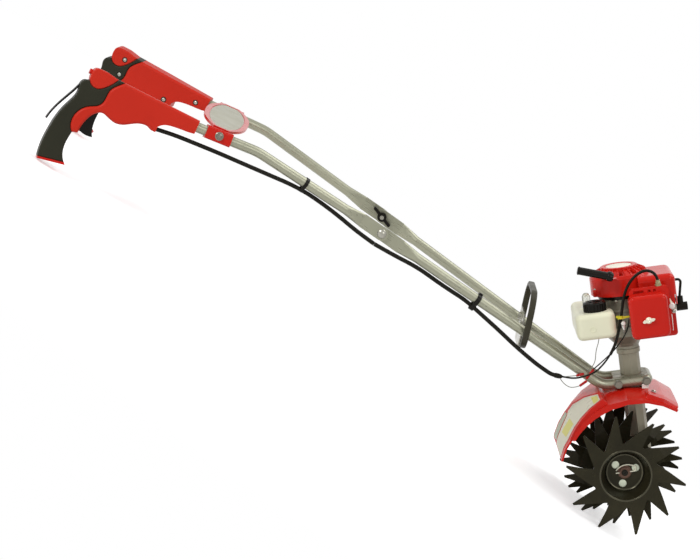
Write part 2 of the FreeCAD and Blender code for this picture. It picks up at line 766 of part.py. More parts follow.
def build_air_filter():
    """Rounded filter cover, and its base plate with a row of air slots above the cover."""
    body = new_body("air_filter_cover")
    face = outline(body, "filter_outline", "XZ_Plane", [
        ("filter_left", "filter_low"),
        ("filter_right", "filter_low"),
        ("filter_right", "filter_high"),
        ("filter_left", "filter_high"),
    ], Placement(Vector(0, 0, size("filter_back")), Rotation()))
    block = pad(body, "filter_block", face, "filter_face - filter_back")
    corner = round_edges(body, "filter_corners", block, "11", crosses_y)
    round_edges(body, "filter_front_round", corner, "7", lambda edge: (
        on_plane(edge, "y", -size("filter_face"))))
    finish(body, "air_filter_cover")
    back = -size("filter_back")
    low = size("filter_low") + 2
    thick = size("filter_back - filter_plate")
    tall = size("filter_high + filter_lip") - low
    plate = Part.makeBox(size("filter_right - filter_left") + 2, thick, tall,
                         Vector(size("filter_left") + 4, back, low))
    plate = plate.makeFillet(9, [edge for edge in plate.Edges if crosses_y(edge)])
    for start, end in AIR_SLOTS:
        slot = Part.makeBox(end - start, thick + 2, 5, Vector(start, back - 1, size("filter_high") + 2))
        plate = plate.cut(slot)
    ferrule = drum(Vector(CABLE_END[0], back + thick / 2, CABLE_END[2] - 12), UP, 3, 12)
    solid("air_filter_base", plus(plate, ferrule))


build_air_filter()


def build_carburettor():
    """Carburettor between the cylinder and the filter base."""
    middle = size("filter_left + filter_right") / 2 - 2
    near = size("filter_plate")
    height = size("barrel_axis")
    block = Part.makeBox(38, 30, 34, Vector(middle - 19, -near, height - 17))
    throat = drum(Vector(middle, -near + 30, height), LEFT, 13, near - 30 - size("fin_rad") + 4)
    flange = Part.makeBox(48, 4, 28, Vector(middle - 24, -near + 30, height - 14))
    barrel = drum(Vector(middle - 8, -near + 15, height + 17), UP, 9, 10)
    knob = drum(Vector(middle - 25, -near + 12, height - 6), FORWARD, 4, 6)
    shape = plus(block, throat, flange, barrel, knob)
    return solid("carburettor", shape.cut(working_shape("engine_block")).cut(working_shape("engine_cover")))


build_carburettor()


def build_muffler():
    """Silencer on the far side of the cylinder, with its outlet."""
    middle = size("filter_left + filter_right") / 2 - 2
    box = Part.makeBox(56, 34, 66, Vector(middle - 24, size("cover_half") + 6, size("barrel_axis") - 38))
    box = box.makeFillet(8, [edge for edge in box.Edges if not on_plane(edge, "y", size("cover_half") + 6)])
    neck = drum(Vector(middle, size("fin_rad"), size("barrel_axis")), LEFT, 12,
                size("cover_half") + 8 - size("fin_rad"))
    outlet = drum(Vector(middle + 18, size("cover_half") + 26, size("barrel_axis") - 30),
                  Vector(0.5, 0.5, -0.6).normalize(), 6, 22)
    return solid("muffler", plus(box, neck, outlet))


build_muffler()


def build_tank():
    """Translucent fuel tank behind the crankcase, with a filler end on the right."""
    body = new_body("fuel_tank")
    plane = Placement(Vector(0, 0, size("tank_low")), Rotation())
    plan = outline(body, "tank_plan", "XY_Plane", [
        ("- tank_back", "- tank_right"),
        ("tank_lobe", "- tank_right"),
        ("tank_lobe", "- crank_rad - 8"),
        ("- 8", "- 24"),
        ("- 8", "tank_left"),
        ("- tank_back", "tank_left"),
    ], plane)
    block = pad(body, "tank_block", plan, "tank_high - tank_low")
    upright = round_edges(body, "tank_corners", block, "14", lambda edge: (
        abs(edge.Vertexes[0].Point.z - edge.Vertexes[-1].Point.z) > 1))
    round_edges(body, "tank_round", upright, "10", lambda edge: (
        on_plane(edge, "z", size("tank_low")) or on_plane(edge, "z", size("tank_high"))))
    finish(body, "fuel_tank")
    cap = new_body("fuel_cap")
    ring = rings(cap, "cap_circle", "XY_Plane", [("0", "0", "cap_rad")])
    lid = pad(cap, "cap_pad", ring, "cap_high")
    round_edges(cap, "cap_round", lid, "2", lambda edge: on_plane(edge, "z", size("cap_high")))
    groove = rings(cap, "groove_circle", "XY_Plane", [("cap_rad + 1.6", "0", "2.6")])
    cut = pocket(cap, "groove", groove, "cap_high - 3", back=True)
    ring_pattern(cap, "grooves", [cut], "24")
    finish(cap, "fuel_cap", Placement(Vector(-19, -size("tank_right") + 36, size("tank_high")), Rotation()))
    foot = Vector(-31, -20, size("tank_high"))
    stem = UP * 21
    solid("priming_bulb", plus(drum(foot, UP, 8, stem.Length), Part.makeSphere(8, foot + stem)))


build_tank()


def build_starter_grip():
    """Pull handle of the recoil starter, resting on its rope guide."""
    middle = Vector(size("worm_axis") - 52, -size("starter_rad") - 14, size("starter_wall") + 21)
    way = Vector(math.cos(math.radians(18)), 0, -math.sin(math.radians(18)))
    handle = drum(middle - way * 32, way, 7.5, 68)
    handle = handle.makeFillet(2.5, [edge for edge in handle.Edges if len(edge.Vertexes) == 1])
    inward = Vector(26, 34, -16)
    guide = drum(middle, inward, 5, inward.Length)
    return solid("starter_grip", plus(handle, guide).cut(working_shape("starter_housing")))


build_starter_grip()


# --- fender --------------------------------------------------------------------

def hood_point(angle, radius, side=0):
    """Point of the fender at an angle up from the front, round the fender's own axis."""
    turn = math.radians(angle)
    return Vector(size("hood_axis_x") + radius * math.cos(turn), side,
                  size("hood_axis_z") + radius * math.sin(turn))


# Cross-sections from the front edge back to the tail.  The angle is measured up from the
# front.  The heights stand against hood_rad: lip, outer edge, foot and top of the raised
# panel's side; then come the half width and height of its crease and the height of its middle.
SADDLE = size("bow_high - tube_dia/2 - hood_axis_z - hood_rad") - 0.5
HOOD_SECTIONS = [
    (53, -5, 0, 0, 3, 70, 5, 5.5),
    (64, -5.5, 0, 0, 6, 70, 8, 8.5),
    (75, -6.5, 0, 0, 9, 70, 11, 11.5),
    (77, -6.8, 0, 2, 2.4, size("saddle_half"), SADDLE - 0.5, SADDLE),
    (90, -9, 0, 2, 2.4, size("saddle_half"), SADDLE - 0.5, SADDLE),
    (104, -11.5, 0, 2, 2.4, size("saddle_half"), SADDLE - 0.5, SADDLE),
    (106, -12, 0, 0, 12, 57, 18, 19),
    (117, -13, -2, -2, 4.5, 28, 19.5, 20.5),
    (126, -14, -4, -4, -0.5, 6, 18.5, 19),
    (134, -14.5, -6, -6, -4, 2, 15.8, 16),
    (141, -15, -8, -8, -7, 2, 13.8, 14),
]
TAIL_SECTIONS = [(142.5, -8, 13.5), (150, -6.5, 10.7), (166, -4.5, 4.2)]
TAIL_MIDDLE = 152
TAIL_CORNER = 160


def hood_section(angle, outside):
    """Closed section of the shell at an angle; 'outside' runs from the lip to the middle."""
    skin = size("skin")
    lip_side, lip_high = outside[0]
    inside = [(lip_side - skin, lip_high)]
    inside += [(side - skin, high - skin) for side, high in outside[1:-2]]
    inside += [(side, high - skin) for side, high in outside[-2:]]
    ring = outside + [(-side, high) for side, high in outside[-2::-1]]
    ring += [(-side, high) for side, high in inside] + inside[-2::-1]
    points = [hood_point(angle, size("hood_rad") + high, side) for side, high in ring]
    return Part.makePolygon(points + points[:1])


def tail_trim(side):
    """Room below the tail's slanting rear edge, from its middle down to one corner."""
    angle = (TAIL_MIDDLE + TAIL_CORNER) / 2
    outward = hood_point(angle, 1) - hood_point(angle, 0)
    down = LEFT.cross(outward)
    if down.z > 0:
        down = -down
    middle = hood_point(TAIL_MIDDLE, size("hood_rad") + 10) - outward * 60
    corner = hood_point(TAIL_CORNER, size("hood_rad") - 5, side * size("tail_half")) - outward * 60
    aside = corner - middle
    beyond = middle + aside * 1.4
    ring = [middle, beyond, beyond + down * 90, middle + down * 90 - aside * 0.05]
    return Part.Face(Part.makePolygon(ring + ring[:1])).extrude(outward * 120)


def build_fender():
    """Fender: a lip and a ledge along both edges, raised panels in front and behind, and a tail."""
    half, ledge, tail = size("hood_half"), size("hood_ledge"), size("tail_half")
    sections = []
    for angle, lip, edge, foot, panel, crease_half, crease, middle in HOOD_SECTIONS:
        sections.append(hood_section(angle, [
            (half, lip), (half, edge), (ledge, edge + foot), (ledge - 1.5, panel),
            (crease_half, crease), (0, middle)]))
    for angle, edge, middle in TAIL_SECTIONS:
        sections.append(hood_section(angle, [
            (tail, edge - size("skin") - 1), (tail, edge), (tail - 3, edge + 0.3), (tail - 4.5, edge + 0.6),
            (2, middle - 0.2), (0, middle)]))
    shell = Part.makeLoft(sections, True, True)
    shell = shell.cut(tail_trim(-1)).cut(tail_trim(1))
    column = drum(crank_point(0), UP, size("column_rad + 1"), 2 * size("hood_rad"))
    return solid("fender", shell.cut(column))


build_fender()


# --- handle clamp and lower handles --------------------------------------------

CLAMP_BOLTS = {"rear": -size("column_rad") - 9, "front": size("column_rad") + 5}


def column_core(gap):
    """The eight-sided column with a gap round it, for cutting its room."""
    radius = size("column_rad") + gap
    ring = Part.makePolygon([crank_point(0, radius * math.cos(math.radians(45 * turn)),
                                         radius * math.sin(math.radians(45 * turn))) for turn in range(9)])
    return Part.Face(ring).extrude(UP * 400)


def clamp_bolt_hole(along, gap):
    """Cross bolt of the handle clamp, with a gap round it."""
    half = size("bow_half") + 30
    start = crank_point(size("bow_high"), along, -half)
    return drum(start, LEFT, 4 + gap, 2 * half)


def build_clamp():
    """Block that grips the column between the handle tubes."""
    reach = size("bow_half - tube_dia/2")
    rear = CLAMP_BOLTS["rear"] - 7
    front = size("bow_front + tube_dia/2 - bow_wall - worm_axis")
    corner = crank_point(size("bow_high - tube_dia/2") - 4, rear, -reach)
    high = size("tube_dia") + 3.5
    block = Part.makeBox(front - rear, 2 * reach, high, corner)
    block = block.makeChamfer(3, [edge for edge in block.Edges if on_plane(edge, "x", corner.x)
                                  and not on_plane(edge, "z", corner.z)
                                  and not on_plane(edge, "z", corner.z + high)])
    block = block.cut(column_core(0)).cut(working_shape("fender"))
    slit = Part.makeBox(front - rear, 2, high + 1, crank_point(corner.z, rear, -1))
    block = block.cut(slit)
    for name, along in CLAMP_BOLTS.items():
        block = block.cut(clamp_bolt_hole(along, 0))
    halves = sorted(block.Solids, key=lambda part: part.CenterOfMass.y)
    for name, part in (("right", halves[0]), ("left", halves[-1])):
        solid("handle_clamp_" + name, part)
    outside = size("bow_half + tube_dia/2")
    for name, along in CLAMP_BOLTS.items():
        start = crank_point(size("bow_high"), along, -outside - 6)
        shank = drum(start, LEFT, 4, 2 * outside + 18)
        head = hexagon_at(start + LEFT * 1.5, -LEFT, 6.5, 5.5)
        washer = drum(start + LEFT * 6, -LEFT, 8, 4.5)
        nut = hexagon_at(start + LEFT * (2 * outside + 6), LEFT, 6.5, 6.5)
        solid("clamp_bolt_" + name, plus(shank, head, washer, nut))


def hexagon_at(start, way, across, high):
    """A hexagon head or nut, 'across' its half width over the corners."""
    turn = Placement(start, Rotation(UP, way))
    ring = Part.makePolygon([turn.multVec(Vector(across * math.cos(math.radians(60 * side)),
                                                 across * math.sin(math.radians(60 * side)), 0))
                             for side in range(7)])
    return Part.Face(ring).extrude(way * high)


build_clamp()

FOLD = Vector(-size("fold_back"), 0, size("fold_high"))
PLAN = math.tan(math.radians(size("splay")))


def slope(rise):
    """Unit direction up and back at an angle, in the side view."""
    turn = math.radians(rise)
    return Vector(-math.cos(turn), 0, math.sin(turn))


LOWER_WAY = slope(size("lower_rise"))
UPPER_WAY = slope(size("upper_rise"))
FLAT = 44
TAPER = 38


def lower_side(along_x):
    """Distance of the lower handle tube from the middle."""
    return size("bow_half") + max(0, -24 - along_x) * PLAN


def tongue(centre, way, thick, high, reach):
    """Flattened end round the fold bolt: a slab with a rounded end."""
    across = way.cross(LEFT)
    slab_start = centre - LEFT * (thick / 2)
    corner = [slab_start - across * (high / 2), slab_start + across * (high / 2),
              slab_start + across * (high / 2) + way * reach, slab_start - across * (high / 2) + way * reach]
    slab = Part.Face(Part.makePolygon(corner + corner[:1])).extrude(LEFT * thick)
    return slab.fuse(drum(slab_start, LEFT, high / 2, thick))


def stadium(centre, normal, thick, high):
    """Outline of a flattened tube, square to its direction."""
    across = normal.cross(LEFT).normalize()
    side = across.cross(normal).normalize()
    flat = (high - thick) / 2
    def at(up, out):
        return centre + across * up + side * out
    half = thick / 2
    return Part.Wire([
        Part.LineSegment(at(flat, half), at(-flat, half)).toShape(),
        Part.Arc(at(-flat, half), at(-flat - half, 0), at(-flat, -half)).toShape(),
        Part.LineSegment(at(-flat, -half), at(flat, -half)).toShape(),
        Part.Arc(at(flat, -half), at(flat + half, 0), at(flat, half)).toShape(),
    ])


def round_wire(centre, normal, radius):
    """Circle in four arcs that match a flattened outline."""
    across = normal.cross(LEFT).normalize()
    side = across.cross(normal).normalize()
    def at(angle):
        turn = math.radians(angle)
        return centre + across * (radius * math.cos(turn)) + side * (radius * math.sin(turn))
    return Part.Wire([Part.Arc(at(first), at(first + step / 2), at(first + step)).toShape()
                      for first, step in ((55, 70), (125, 110), (235, 70), (305, 110))])


def flattened_tube(path, bend, centre, way):
    """Handle tube that ends in a flattened tongue; way points from the bolt into the tube."""
    thick, high = size("tongue_thick"), size("tongue_high")
    radius = size("tube_dia/2")
    normal = (path[0] - path[1]).normalize()
    tube = bar(path, 2 * radius, bend)
    ends = [round_wire(path[0], normal, radius), stadium(centre + way * FLAT, -way, thick, high)]
    throat = Part.makeLoft(ends, True, True)
    end = tongue(centre, way, thick, high, FLAT)
    hole = drum(centre - LEFT * thick, LEFT, size("fold_bolt/2") + 0.15, 2 * thick)
    return tube, throat, end.cut(hole)


def build_lower_handle(side, name):
    """Lower handle tube from the bow beside the column up to the fold."""
    centre = FOLD + Vector(0, side * size("tongue_mid"), 0)
    start = FOLD - LOWER_WAY * (FLAT + TAPER)
    start.y = side * lower_side(start.x)
    drop = (start.z - size("bow_high")) / LOWER_WAY.z
    knee = start - LOWER_WAY * drop
    knee.y = side * lower_side(knee.x)
    front = crank_point(size("bow_high"), 0, side * size("bow_half"))
    tube, throat, end = flattened_tube([start, knee, front], 45, centre, -LOWER_WAY)
    shape = plus(tube, throat, end)
    for along in CLAMP_BOLTS.values():
        shape = shape.cut(clamp_bolt_hole(along, 0))
    return solid("lower_handle_" + name, shape)


for side, name in ((-1, "right"), (1, "left")):
    build_lower_handle(side, name)


def build_bow():
    """Front of the handle loop: the tube is flattened where it passes round the column."""
    half = size("bow_half")
    high = size("bow_high")
    rear = size("worm_axis")
    front = size("bow_front")
    path = [Vector(rear, -half, high), Vector(front, -half, high),
            Vector(front, half, high), Vector(rear, half, high)]
    shape = bar(path, size("tube_dia"), 11)
    inside = size("bow_front + tube_dia/2 - bow_wall")
    reach = size("bow_half - tube_dia/2")
    room = Part.makeBox(inside - rear, 2 * reach, size("tube_dia"),
                        Vector(rear, -reach, high - size("tube_dia/2")))
    shape = shape.cut(room)
    for along in CLAMP_BOLTS.values():
        shape = shape.cut(clamp_bolt_hole(along, 0))
    return solid("handle_bow", shape)


build_bow()


KNEE = Vector(104.2996, 0, -63.2103)


def upper_path(side):
    """Upper handle tube from the fold to the inside of its grip."""
    start = FOLD + UPPER_WAY * (FLAT + TAPER)
    start.y = side * 127
    knee = GRIP_FRONT + KNEE
    knee.y = side * 171
    front = GRIP_FRONT + Vector(0, side * size("grip_side"), 0)
    onward = (front - knee).normalize()
    return [start, knee, front + onward * size("grip_over")]


def build_upper_handle(side, name):
    """Upper handle tube from its flattened end to the grip."""
    outward = size("tongue_mid + tongue_thick + tongue_gap")
    centre = FOLD + Vector(0, side * outward, 0)
    tube, throat, end = flattened_tube(upper_path(side), 120, centre, UPPER_WAY)
    return solid("upper_handle_" + name, plus(tube, throat, end))


for side, name in ((-1, "right"), (1, "left")):
    build_upper_handle(side, name)


def build_fold_clamp(side, name):
    """Carriage bolt from outside through both flattened ends, and its knob inside."""
    thick = size("tongue_thick")
    outside = side * size("tongue_mid + 1.5*tongue_thick + tongue_gap")
    inside = side * size("tongue_mid - tongue_thick/2")
    inward = Vector(0, -side, 0)
    head_face = FOLD + Vector(0, outside, 0)
    dome = Part.makeSphere(12, head_face + inward * 8)
    keep = drum(head_face, -inward, 14, 6)
    shank = drum(head_face, inward, size("fold_bolt/2"), 2 * thick + size("tongue_gap") + 20)
    solid("fold_bolt_" + name, plus(dome.common(keep), shank))
    seat = FOLD + Vector(0, inside, 0)
    hub = drum(seat, inward, 9, 14)
    wings = []
    for turn in (0, 180):
        way = slope(60 + turn)
        arm = Part.makeBox(24, 6, 12, Vector(0, -3, 0))
        arm = arm.makeFillet(2.4, [edge for edge in arm.Edges if on_plane(edge, "x", 24)])
        spin = Placement(seat, Rotation(way, way.cross(inward) * -1, inward, "XZY"))
        arm.Placement = spin
        wings.append(arm)
    bore = drum(seat, inward, size("fold_bolt/2"), 40)
    solid("fold_knob_" + name, plus(hub, *wings).cut(bore))


for side, name in ((-1, "right"), (1, "left")):
    build_fold_clamp(side, name)


# --- carrying hoop --------------------------------------------------------------

HOOP_FOOT = Vector(-164, 0, 264)
HOOP_LEAN = 19.4


def build_hoop():
    """Closed carrying hoop round both lower handles, and the plate that holds it."""
    lean = math.radians(HOOP_LEAN)
    up = Vector(math.sin(lean), 0, math.cos(lean))
    wide, tall, bend = 86, 106, 40
    body = new_body("carry_hoop")
    sketch = sketch_on(body, "hoop_outline", "XY_Plane")
    for inset in (-4, 4):
        across, low, high, curve = wide - inset, inset, tall - inset, bend - inset
        corners = [(across, low), (across, high), (-across, high), (-across, low)]
        slant = curve * (1 - math.sqrt(0.5))
        for (x, y), (towards_x, towards_y) in zip(corners, ((-1, 1), (-1, -1), (1, -1), (1, 1))):
            ends = [Vector(x + towards_x * curve, y, 0), Vector(x, y + towards_y * curve, 0)]
            middle = Vector(x + towards_x * slant, y + towards_y * slant, 0)
            sketch.addGeometry(Part.Arc(ends[0], middle, ends[1]), False)
        straights = [((across, low + curve), (across, high - curve)),
                     ((-across, low + curve), (-across, high - curve)),
                     ((across - curve, low), (curve - across, low)),
                     ((across - curve, high), (curve - across, high))]
        for (x, y), (next_x, next_y) in straights:
            sketch.addGeometry(Part.LineSegment(Vector(x, y, 0), Vector(next_x, next_y, 0)), False)
    block = pad(body, "hoop_bar", sketch, "12", middle=True)
    round_edges(body, "hoop_round", block, "2.5", lambda edge: (
        on_plane(edge, "z", 6) or on_plane(edge, "z", -6)))
    back = Vector(-up.z, 0, up.x)
    frame = Rotation(LEFT, up, -back, "XYZ")
    finish(body, "carry_hoop", Placement(HOOP_FOOT, frame))
    right = [(-44, -4), (-62, 18), (-62, 44), (-46, 60)]
    corners = right + [(-side, rise) for side, rise in right[::-1]]
    points = [HOOP_FOOT + back * 6 + LEFT * side + up * rise for side, rise in corners]
    plate = Part.Face(Part.makePolygon(points + points[:1])).extrude(back * 3)
    for side in (-38, 38):
        plate = plate.fuse(hexagon_at(HOOP_FOOT + back * 9 + LEFT * side + up * 40, back, 5.8, 4))
    for handle in ("lower_handle_right", "lower_handle_left"):
        plate = plate.cut(working_shape(handle))
    solid("hoop_bracket", plate.removeSplitter())


build_hoop()


# --- crossbar between the upper handles ------------------------------------------

CLAMP_LONG = 50
CLAMP_BACK = 44
OVAL_LONG = 196
OVAL_WIDE = 44
OVAL_THICK = 5
OVAL_ABOVE = size("tube_dia/2") + 3.5
PANEL_DEEP = 1.2


def tube_frame(side):
    """Origin and direction of the straight upper tube just ahead of its grip."""
    start, knee, end = upper_path(side)
    onward = (end - knee).normalize()
    return GRIP_FRONT + Vector(0, side * size("grip_side"), 0), onward


def build_crossbar():
    """Oval plate with a raised rim between the upper handles."""
    front, onward = tube_frame(-1)
    middle = front - onward * CLAMP_BACK
    reach = -middle.y - 2
    body = new_body("crossbar")

    def oval(name, long_half, wide_half, end, offset):
        first = math.degrees(math.asin(end / long_half))
        runs = []
        for flip in (1, -1):
            points = []
            for turn in (-first, -first / 2, 0, first / 2, first):
                across = flip * wide_half * math.cos(math.radians(turn))
                points.append((across, flip * long_half * math.sin(math.radians(turn))))
            runs.append(points)
        runs.insert(1, [runs[0][-1], runs[1][0]])
        runs.append([runs[2][-1], runs[0][0]])
        return freehand(body, name, "XY_Plane", runs, Placement(Vector(0, 0, offset), Rotation()))

    pad(body, "oval_plate", oval("oval", OVAL_LONG, OVAL_WIDE, reach, 0), str(OVAL_THICK), middle=True)
    inner = oval("panel", OVAL_LONG - 12, OVAL_WIDE - 9, reach - 10, OVAL_THICK / 2)
    pocket(body, "panel_top", inner, str(PANEL_DEEP))
    under = oval("panel_under", OVAL_LONG - 12, OVAL_WIDE - 9, reach - 10, -OVAL_THICK / 2)
    pocket(body, "panel_below", under, str(PANEL_DEEP), back=True)
    flat = Vector(onward.x, 0, onward.z).normalize()
    frame = Rotation(flat, LEFT, flat.cross(LEFT), "XYZ")
    above = flat.cross(LEFT)
    if above.z < 0:
        above = -above
    place = Placement(Vector(middle.x, 0, middle.z) + above * OVAL_ABOVE, frame)
    return finish(body, "crossbar", place)


def build_crossbar_clamp(side, name):
    """Moulded sleeve that holds one end of the crossbar on its tube."""
    front, onward = tube_frame(side)
    middle = front - onward * CLAMP_BACK
    block = Part.makeBox(CLAMP_LONG, 24, 25, Vector(-CLAMP_LONG / 2, -12, -12.5))
    block = block.makeFillet(4, [edge for edge in block.Edges if abs(
        edge.Vertexes[0].Point.x - edge.Vertexes[-1].Point.x) > 1])
    across = onward.cross(UP).normalize()
    block.Placement = Placement(middle, Rotation(onward, across, onward.cross(across), "XYZ"))
    tube = drum(middle - onward * CLAMP_LONG, onward, size("tube_dia/2"), 2 * CLAMP_LONG)
    return solid("crossbar_clamp_" + name, block.cut(tube).cut(working_shape("crossbar")))


build_crossbar()
for side, name in ((-1, "right"), (1, "left")):
    build_crossbar_clamp(side, name)


# --- grips ------------------------------------------------------------------------
# Side view of a grip: along the tube from its front end, and above the tube.

SHELL_REAR = [(154, 17), (165, 6), (173.4, -7), (174.6, -24), (179.4, -38.3), (196.4, -49.2),
              (209.8, -63.5), (214.3, -79.6), (211, -96), (204.6, -104)]
SHELL_BELOW = [(194.5, -101), (194, -89), (190, -73), (182, -58), (170, -50), (155, -53), (141, -56.5),
               (125, -53), (109, -43.5), (95, -37.5), (84, -37), (75, -40.5)]
SHELL_BOSS = [(75, -40.5), (67, -40.5), (67, -30)]
SHELL_NECK = [(67, -30), (58, -22), (44, -18), (25, -16), (0, -13)]
THUMB_ROUND = [(166.6, 17.4), (173.8, 5.5), (183.5, -6), (195, -13.5), (207, -12.5), (214.5, -5),
               (216.5, 6), (214, 17), (205, 21.5)]
GRIP_FOOT_TOE = (191, -164)
FOOT_TILT = math.atan2(HEEL[1] - GRIP_FOOT_TOE[1], HEEL[0] - GRIP_FOOT_TOE[0])
FOOT_RISE = size("foot_thick") * math.cos(FOOT_TILT)
HEEL_TOP = (HEEL[0] - size("foot_thick") * math.sin(FOOT_TILT), HEEL[1] + FOOT_RISE)
TOE_TOP = (GRIP_FOOT_TOE[0] + 0.85 * size("foot_thick"), GRIP_FOOT_TOE[1] + FOOT_RISE)
GRIP_BACK = [(217.5, -6.5), (224, -9.5), (227.5, -18), (225.5, -30), (229, -49), (237, -69), (243, -93),
             (246, -120), (246.5, -145), HEEL_TOP]
GRIP_FRONT_EDGE = [TOE_TOP, (202, -149), (206, -135), (206, -116), (204.6, -104)]
TRIGGER = [(174, -51), (174.5, -62), (173, -80), (170.5, -89), (166, -97.5), (180, -99), (196, -94),
           (192, -60)]


def grip_place(side):
    """Where a grip's side view lies: along the tube, across it and sideways."""
    plan = math.radians(size("splay"))
    rise = math.radians(size("grip_rise"))
    level = Vector(-math.cos(plan), side * math.sin(plan), 0)
    along = level * math.cos(rise) + UP * math.sin(rise)
    above = UP * math.cos(rise) - level * math.sin(rise)
    origin = GRIP_FRONT + Vector(0, side * size("grip_side"), 0)
    return Placement(origin, Rotation(along, above, along.cross(above), "XYZ"))


def build_shell(side, name):
    """Red moulded shell from the tube to the trigger guard."""
    body = new_body("grip_shell_" + name)
    view = freehand(body, "shell_outline", "XY_Plane", [
        [(0, 13), SHELL_REAR[0]], SHELL_REAR, [SHELL_REAR[-1], SHELL_BELOW[0]], SHELL_BELOW,
        SHELL_BOSS[:2], SHELL_BOSS[1:], SHELL_NECK, [SHELL_NECK[-1], (0, 13)]])
    pad(body, "shell_block", view, "shell_wide", middle=True)
    taper = outline(body, "taper", "XZ_Plane", [
        ("- 2", "13.5"), ("110", "shell_wide/2 + 0.5"), ("- 2", "shell_wide/2 + 0.5")])
    pocket(body, "taper_left", taper, "120", middle=True)
    other = outline(body, "taper_below", "XZ_Plane", [
        ("- 2", "- 13.5"), ("110", "- shell_wide/2 - 0.5"), ("- 2", "- shell_wide/2 - 0.5")])
    pocket(body, "taper_right", other, "120", middle=True)
    front, onward = tube_frame(side)
    tube = grip_place(side).Rotation.inverted().multVec(onward)
    turn = Rotation(UP, Vector(tube.y, tube.z, tube.x))
    start = turn.multVec(UP * -2)
    seat = rings(body, "tube_seat", "YZ_Plane", [("0", "0", "tube_dia/2")], Placement(start, turn))
    bored = pocket(body, "tube_bore", seat, "grip_over + 2", back=True)
    half = size("shell_wide/2")
    round_edges(body, "shell_round", bored, "shell_round", lambda edge: on_side(edge, half))
    return finish(body, "grip_shell_" + name, grip_place(side))


def build_thumb(side, name):
    """Red upper part of the grip head."""
    body = new_body("grip_thumb_" + name)
    view = freehand(body, "thumb_outline", "XY_Plane", [
        THUMB_ROUND, [THUMB_ROUND[-1], (189.7, 21.5)], [(189.7, 21.5), THUMB_ROUND[0]]])
    block = pad(body, "thumb_block", view, "shell_wide - 6", middle=True)
    half = size("shell_wide - 6") / 2
    round_edges(body, "thumb_round", block, "handle_round", lambda edge: on_side(edge, half))
    return finish(body, "grip_thumb_" + name, grip_place(side))


def build_pistol(side, name):
    """Black pistol grip with its foot plate, filling the band between the red parts."""
    body = new_body("grip_handle_" + name)
    shell_side = SHELL_REAR[::-1]
    thumb_side = THUMB_ROUND[:6]
    view = freehand(body, "pistol_outline", "XY_Plane", [
        shell_side,
        [shell_side[-1], (158.5, 17.2), thumb_side[0]],
        thumb_side,
        [thumb_side[-1], GRIP_BACK[0]],
        GRIP_BACK,
        [HEEL_TOP, TOE_TOP],
        GRIP_FRONT_EDGE,
    ])
    block = pad(body, "pistol_block", view, "handle_wide", middle=True)
    half = size("handle_wide/2")
    round_edges(body, "pistol_round", block, "handle_round", lambda edge: on_side(edge, half))
    finish(body, "grip_handle_" + name, grip_place(side))
    foot = new_body("grip_foot_" + name)
    edge = freehand(foot, "foot_outline", "XY_Plane", [
        [HEEL, GRIP_FOOT_TOE], [GRIP_FOOT_TOE, TOE_TOP], [TOE_TOP, HEEL_TOP], [HEEL_TOP, HEEL]])
    pad(foot, "foot_plate", edge, "handle_wide", middle=True)
    return finish(foot, "grip_foot_" + name, grip_place(side))


for side, name in ((-1, "right"), (1, "left")):
    build_shell(side, name)
    build_thumb(side, name)
    build_pistol(side, name)


def smooth_edges(runs):
    """Lines between two points and splines through more, for a plain face."""
    edges = []
    for run in runs:
        points = [Vector(x, y, 0) for x, y in run]
        if len(points) == 2:
            edges.append(Part.LineSegment(points[0], points[1]).toShape())
        else:
            curve = Part.BSplineCurve()
            curve.interpolate(points)
            edges.append(curve.toShape())
    return edges


def build_controls():
    """Throttle trigger, lock-out lever and stop button of the right grip."""
    fin = Part.Face(Part.Wire(smooth_edges([TRIGGER[:5], TRIGGER[4:], [TRIGGER[-1], TRIGGER[0]]])))
    fin = fin.extrude(UP * 10)
    fin.translate(UP * -5)
    fin.Placement = grip_place(-1).multiply(fin.Placement)
    solid("throttle_trigger", fin.cut(working_shape("grip_shell_right")))
    strip = Part.Face(Part.Wire(smooth_edges([
        LEVER_BACK, [LEVER_BACK[-1], LEVER_FRONT[0]], LEVER_FRONT, [LEVER_FRONT[-1], LEVER_BACK[0]]])))
    strip = strip.extrude(UP * size("lever_wide"))
    strip.translate(UP * size("- lever_wide/2"))
    strip.Placement = grip_place(-1).multiply(strip.Placement)
    solid("lockout_lever", strip.cut(working_shape("grip_handle_right")))
    button = drum(Vector(210, 10, 0), FORWARD, 5, 11)
    button.Placement = grip_place(-1).multiply(button.Placement)
    solid("stop_button", button.cut(working_shape("grip_thumb_right")))


build_controls()


# --- throttle cable ---------------------------------------------------------------

LOWER_CABLE = [(-383, -115, 479.5), (-340.5, -104, 447.5), (-301.5, -94, 408.5), (-260.5, -85.5, 372),
               (-236, -81, 342.5), (-204, -77, 304), (-175, -74, 267), (-141, -72, 229), (-116, -70, 206),
               (-100, -69, 200)]
WIRE = [(-72, -72, 192), (-34, -77, 199), (-8, -80, 222), (13, -84, 253), (27, -87, 301), (37, -89, 346),
        (55, -90, 374), (80, -91, 388), (101, -92, 379), CABLE_END]
# From the fold, at a distance of 310 from there to the grips.
UPPER_CABLE = [(-282.7, -189.3, 201.7), (-232, -179, 169.5), (-189.6, -168, 142.2),
               (-155.6, -156, 120), (-127.5, -144.5, 97.8), (-100.2, -135.5, 71.3),
               (-74.8, -127.5, 44.2), (-46.2, -122.5, 11.8)]


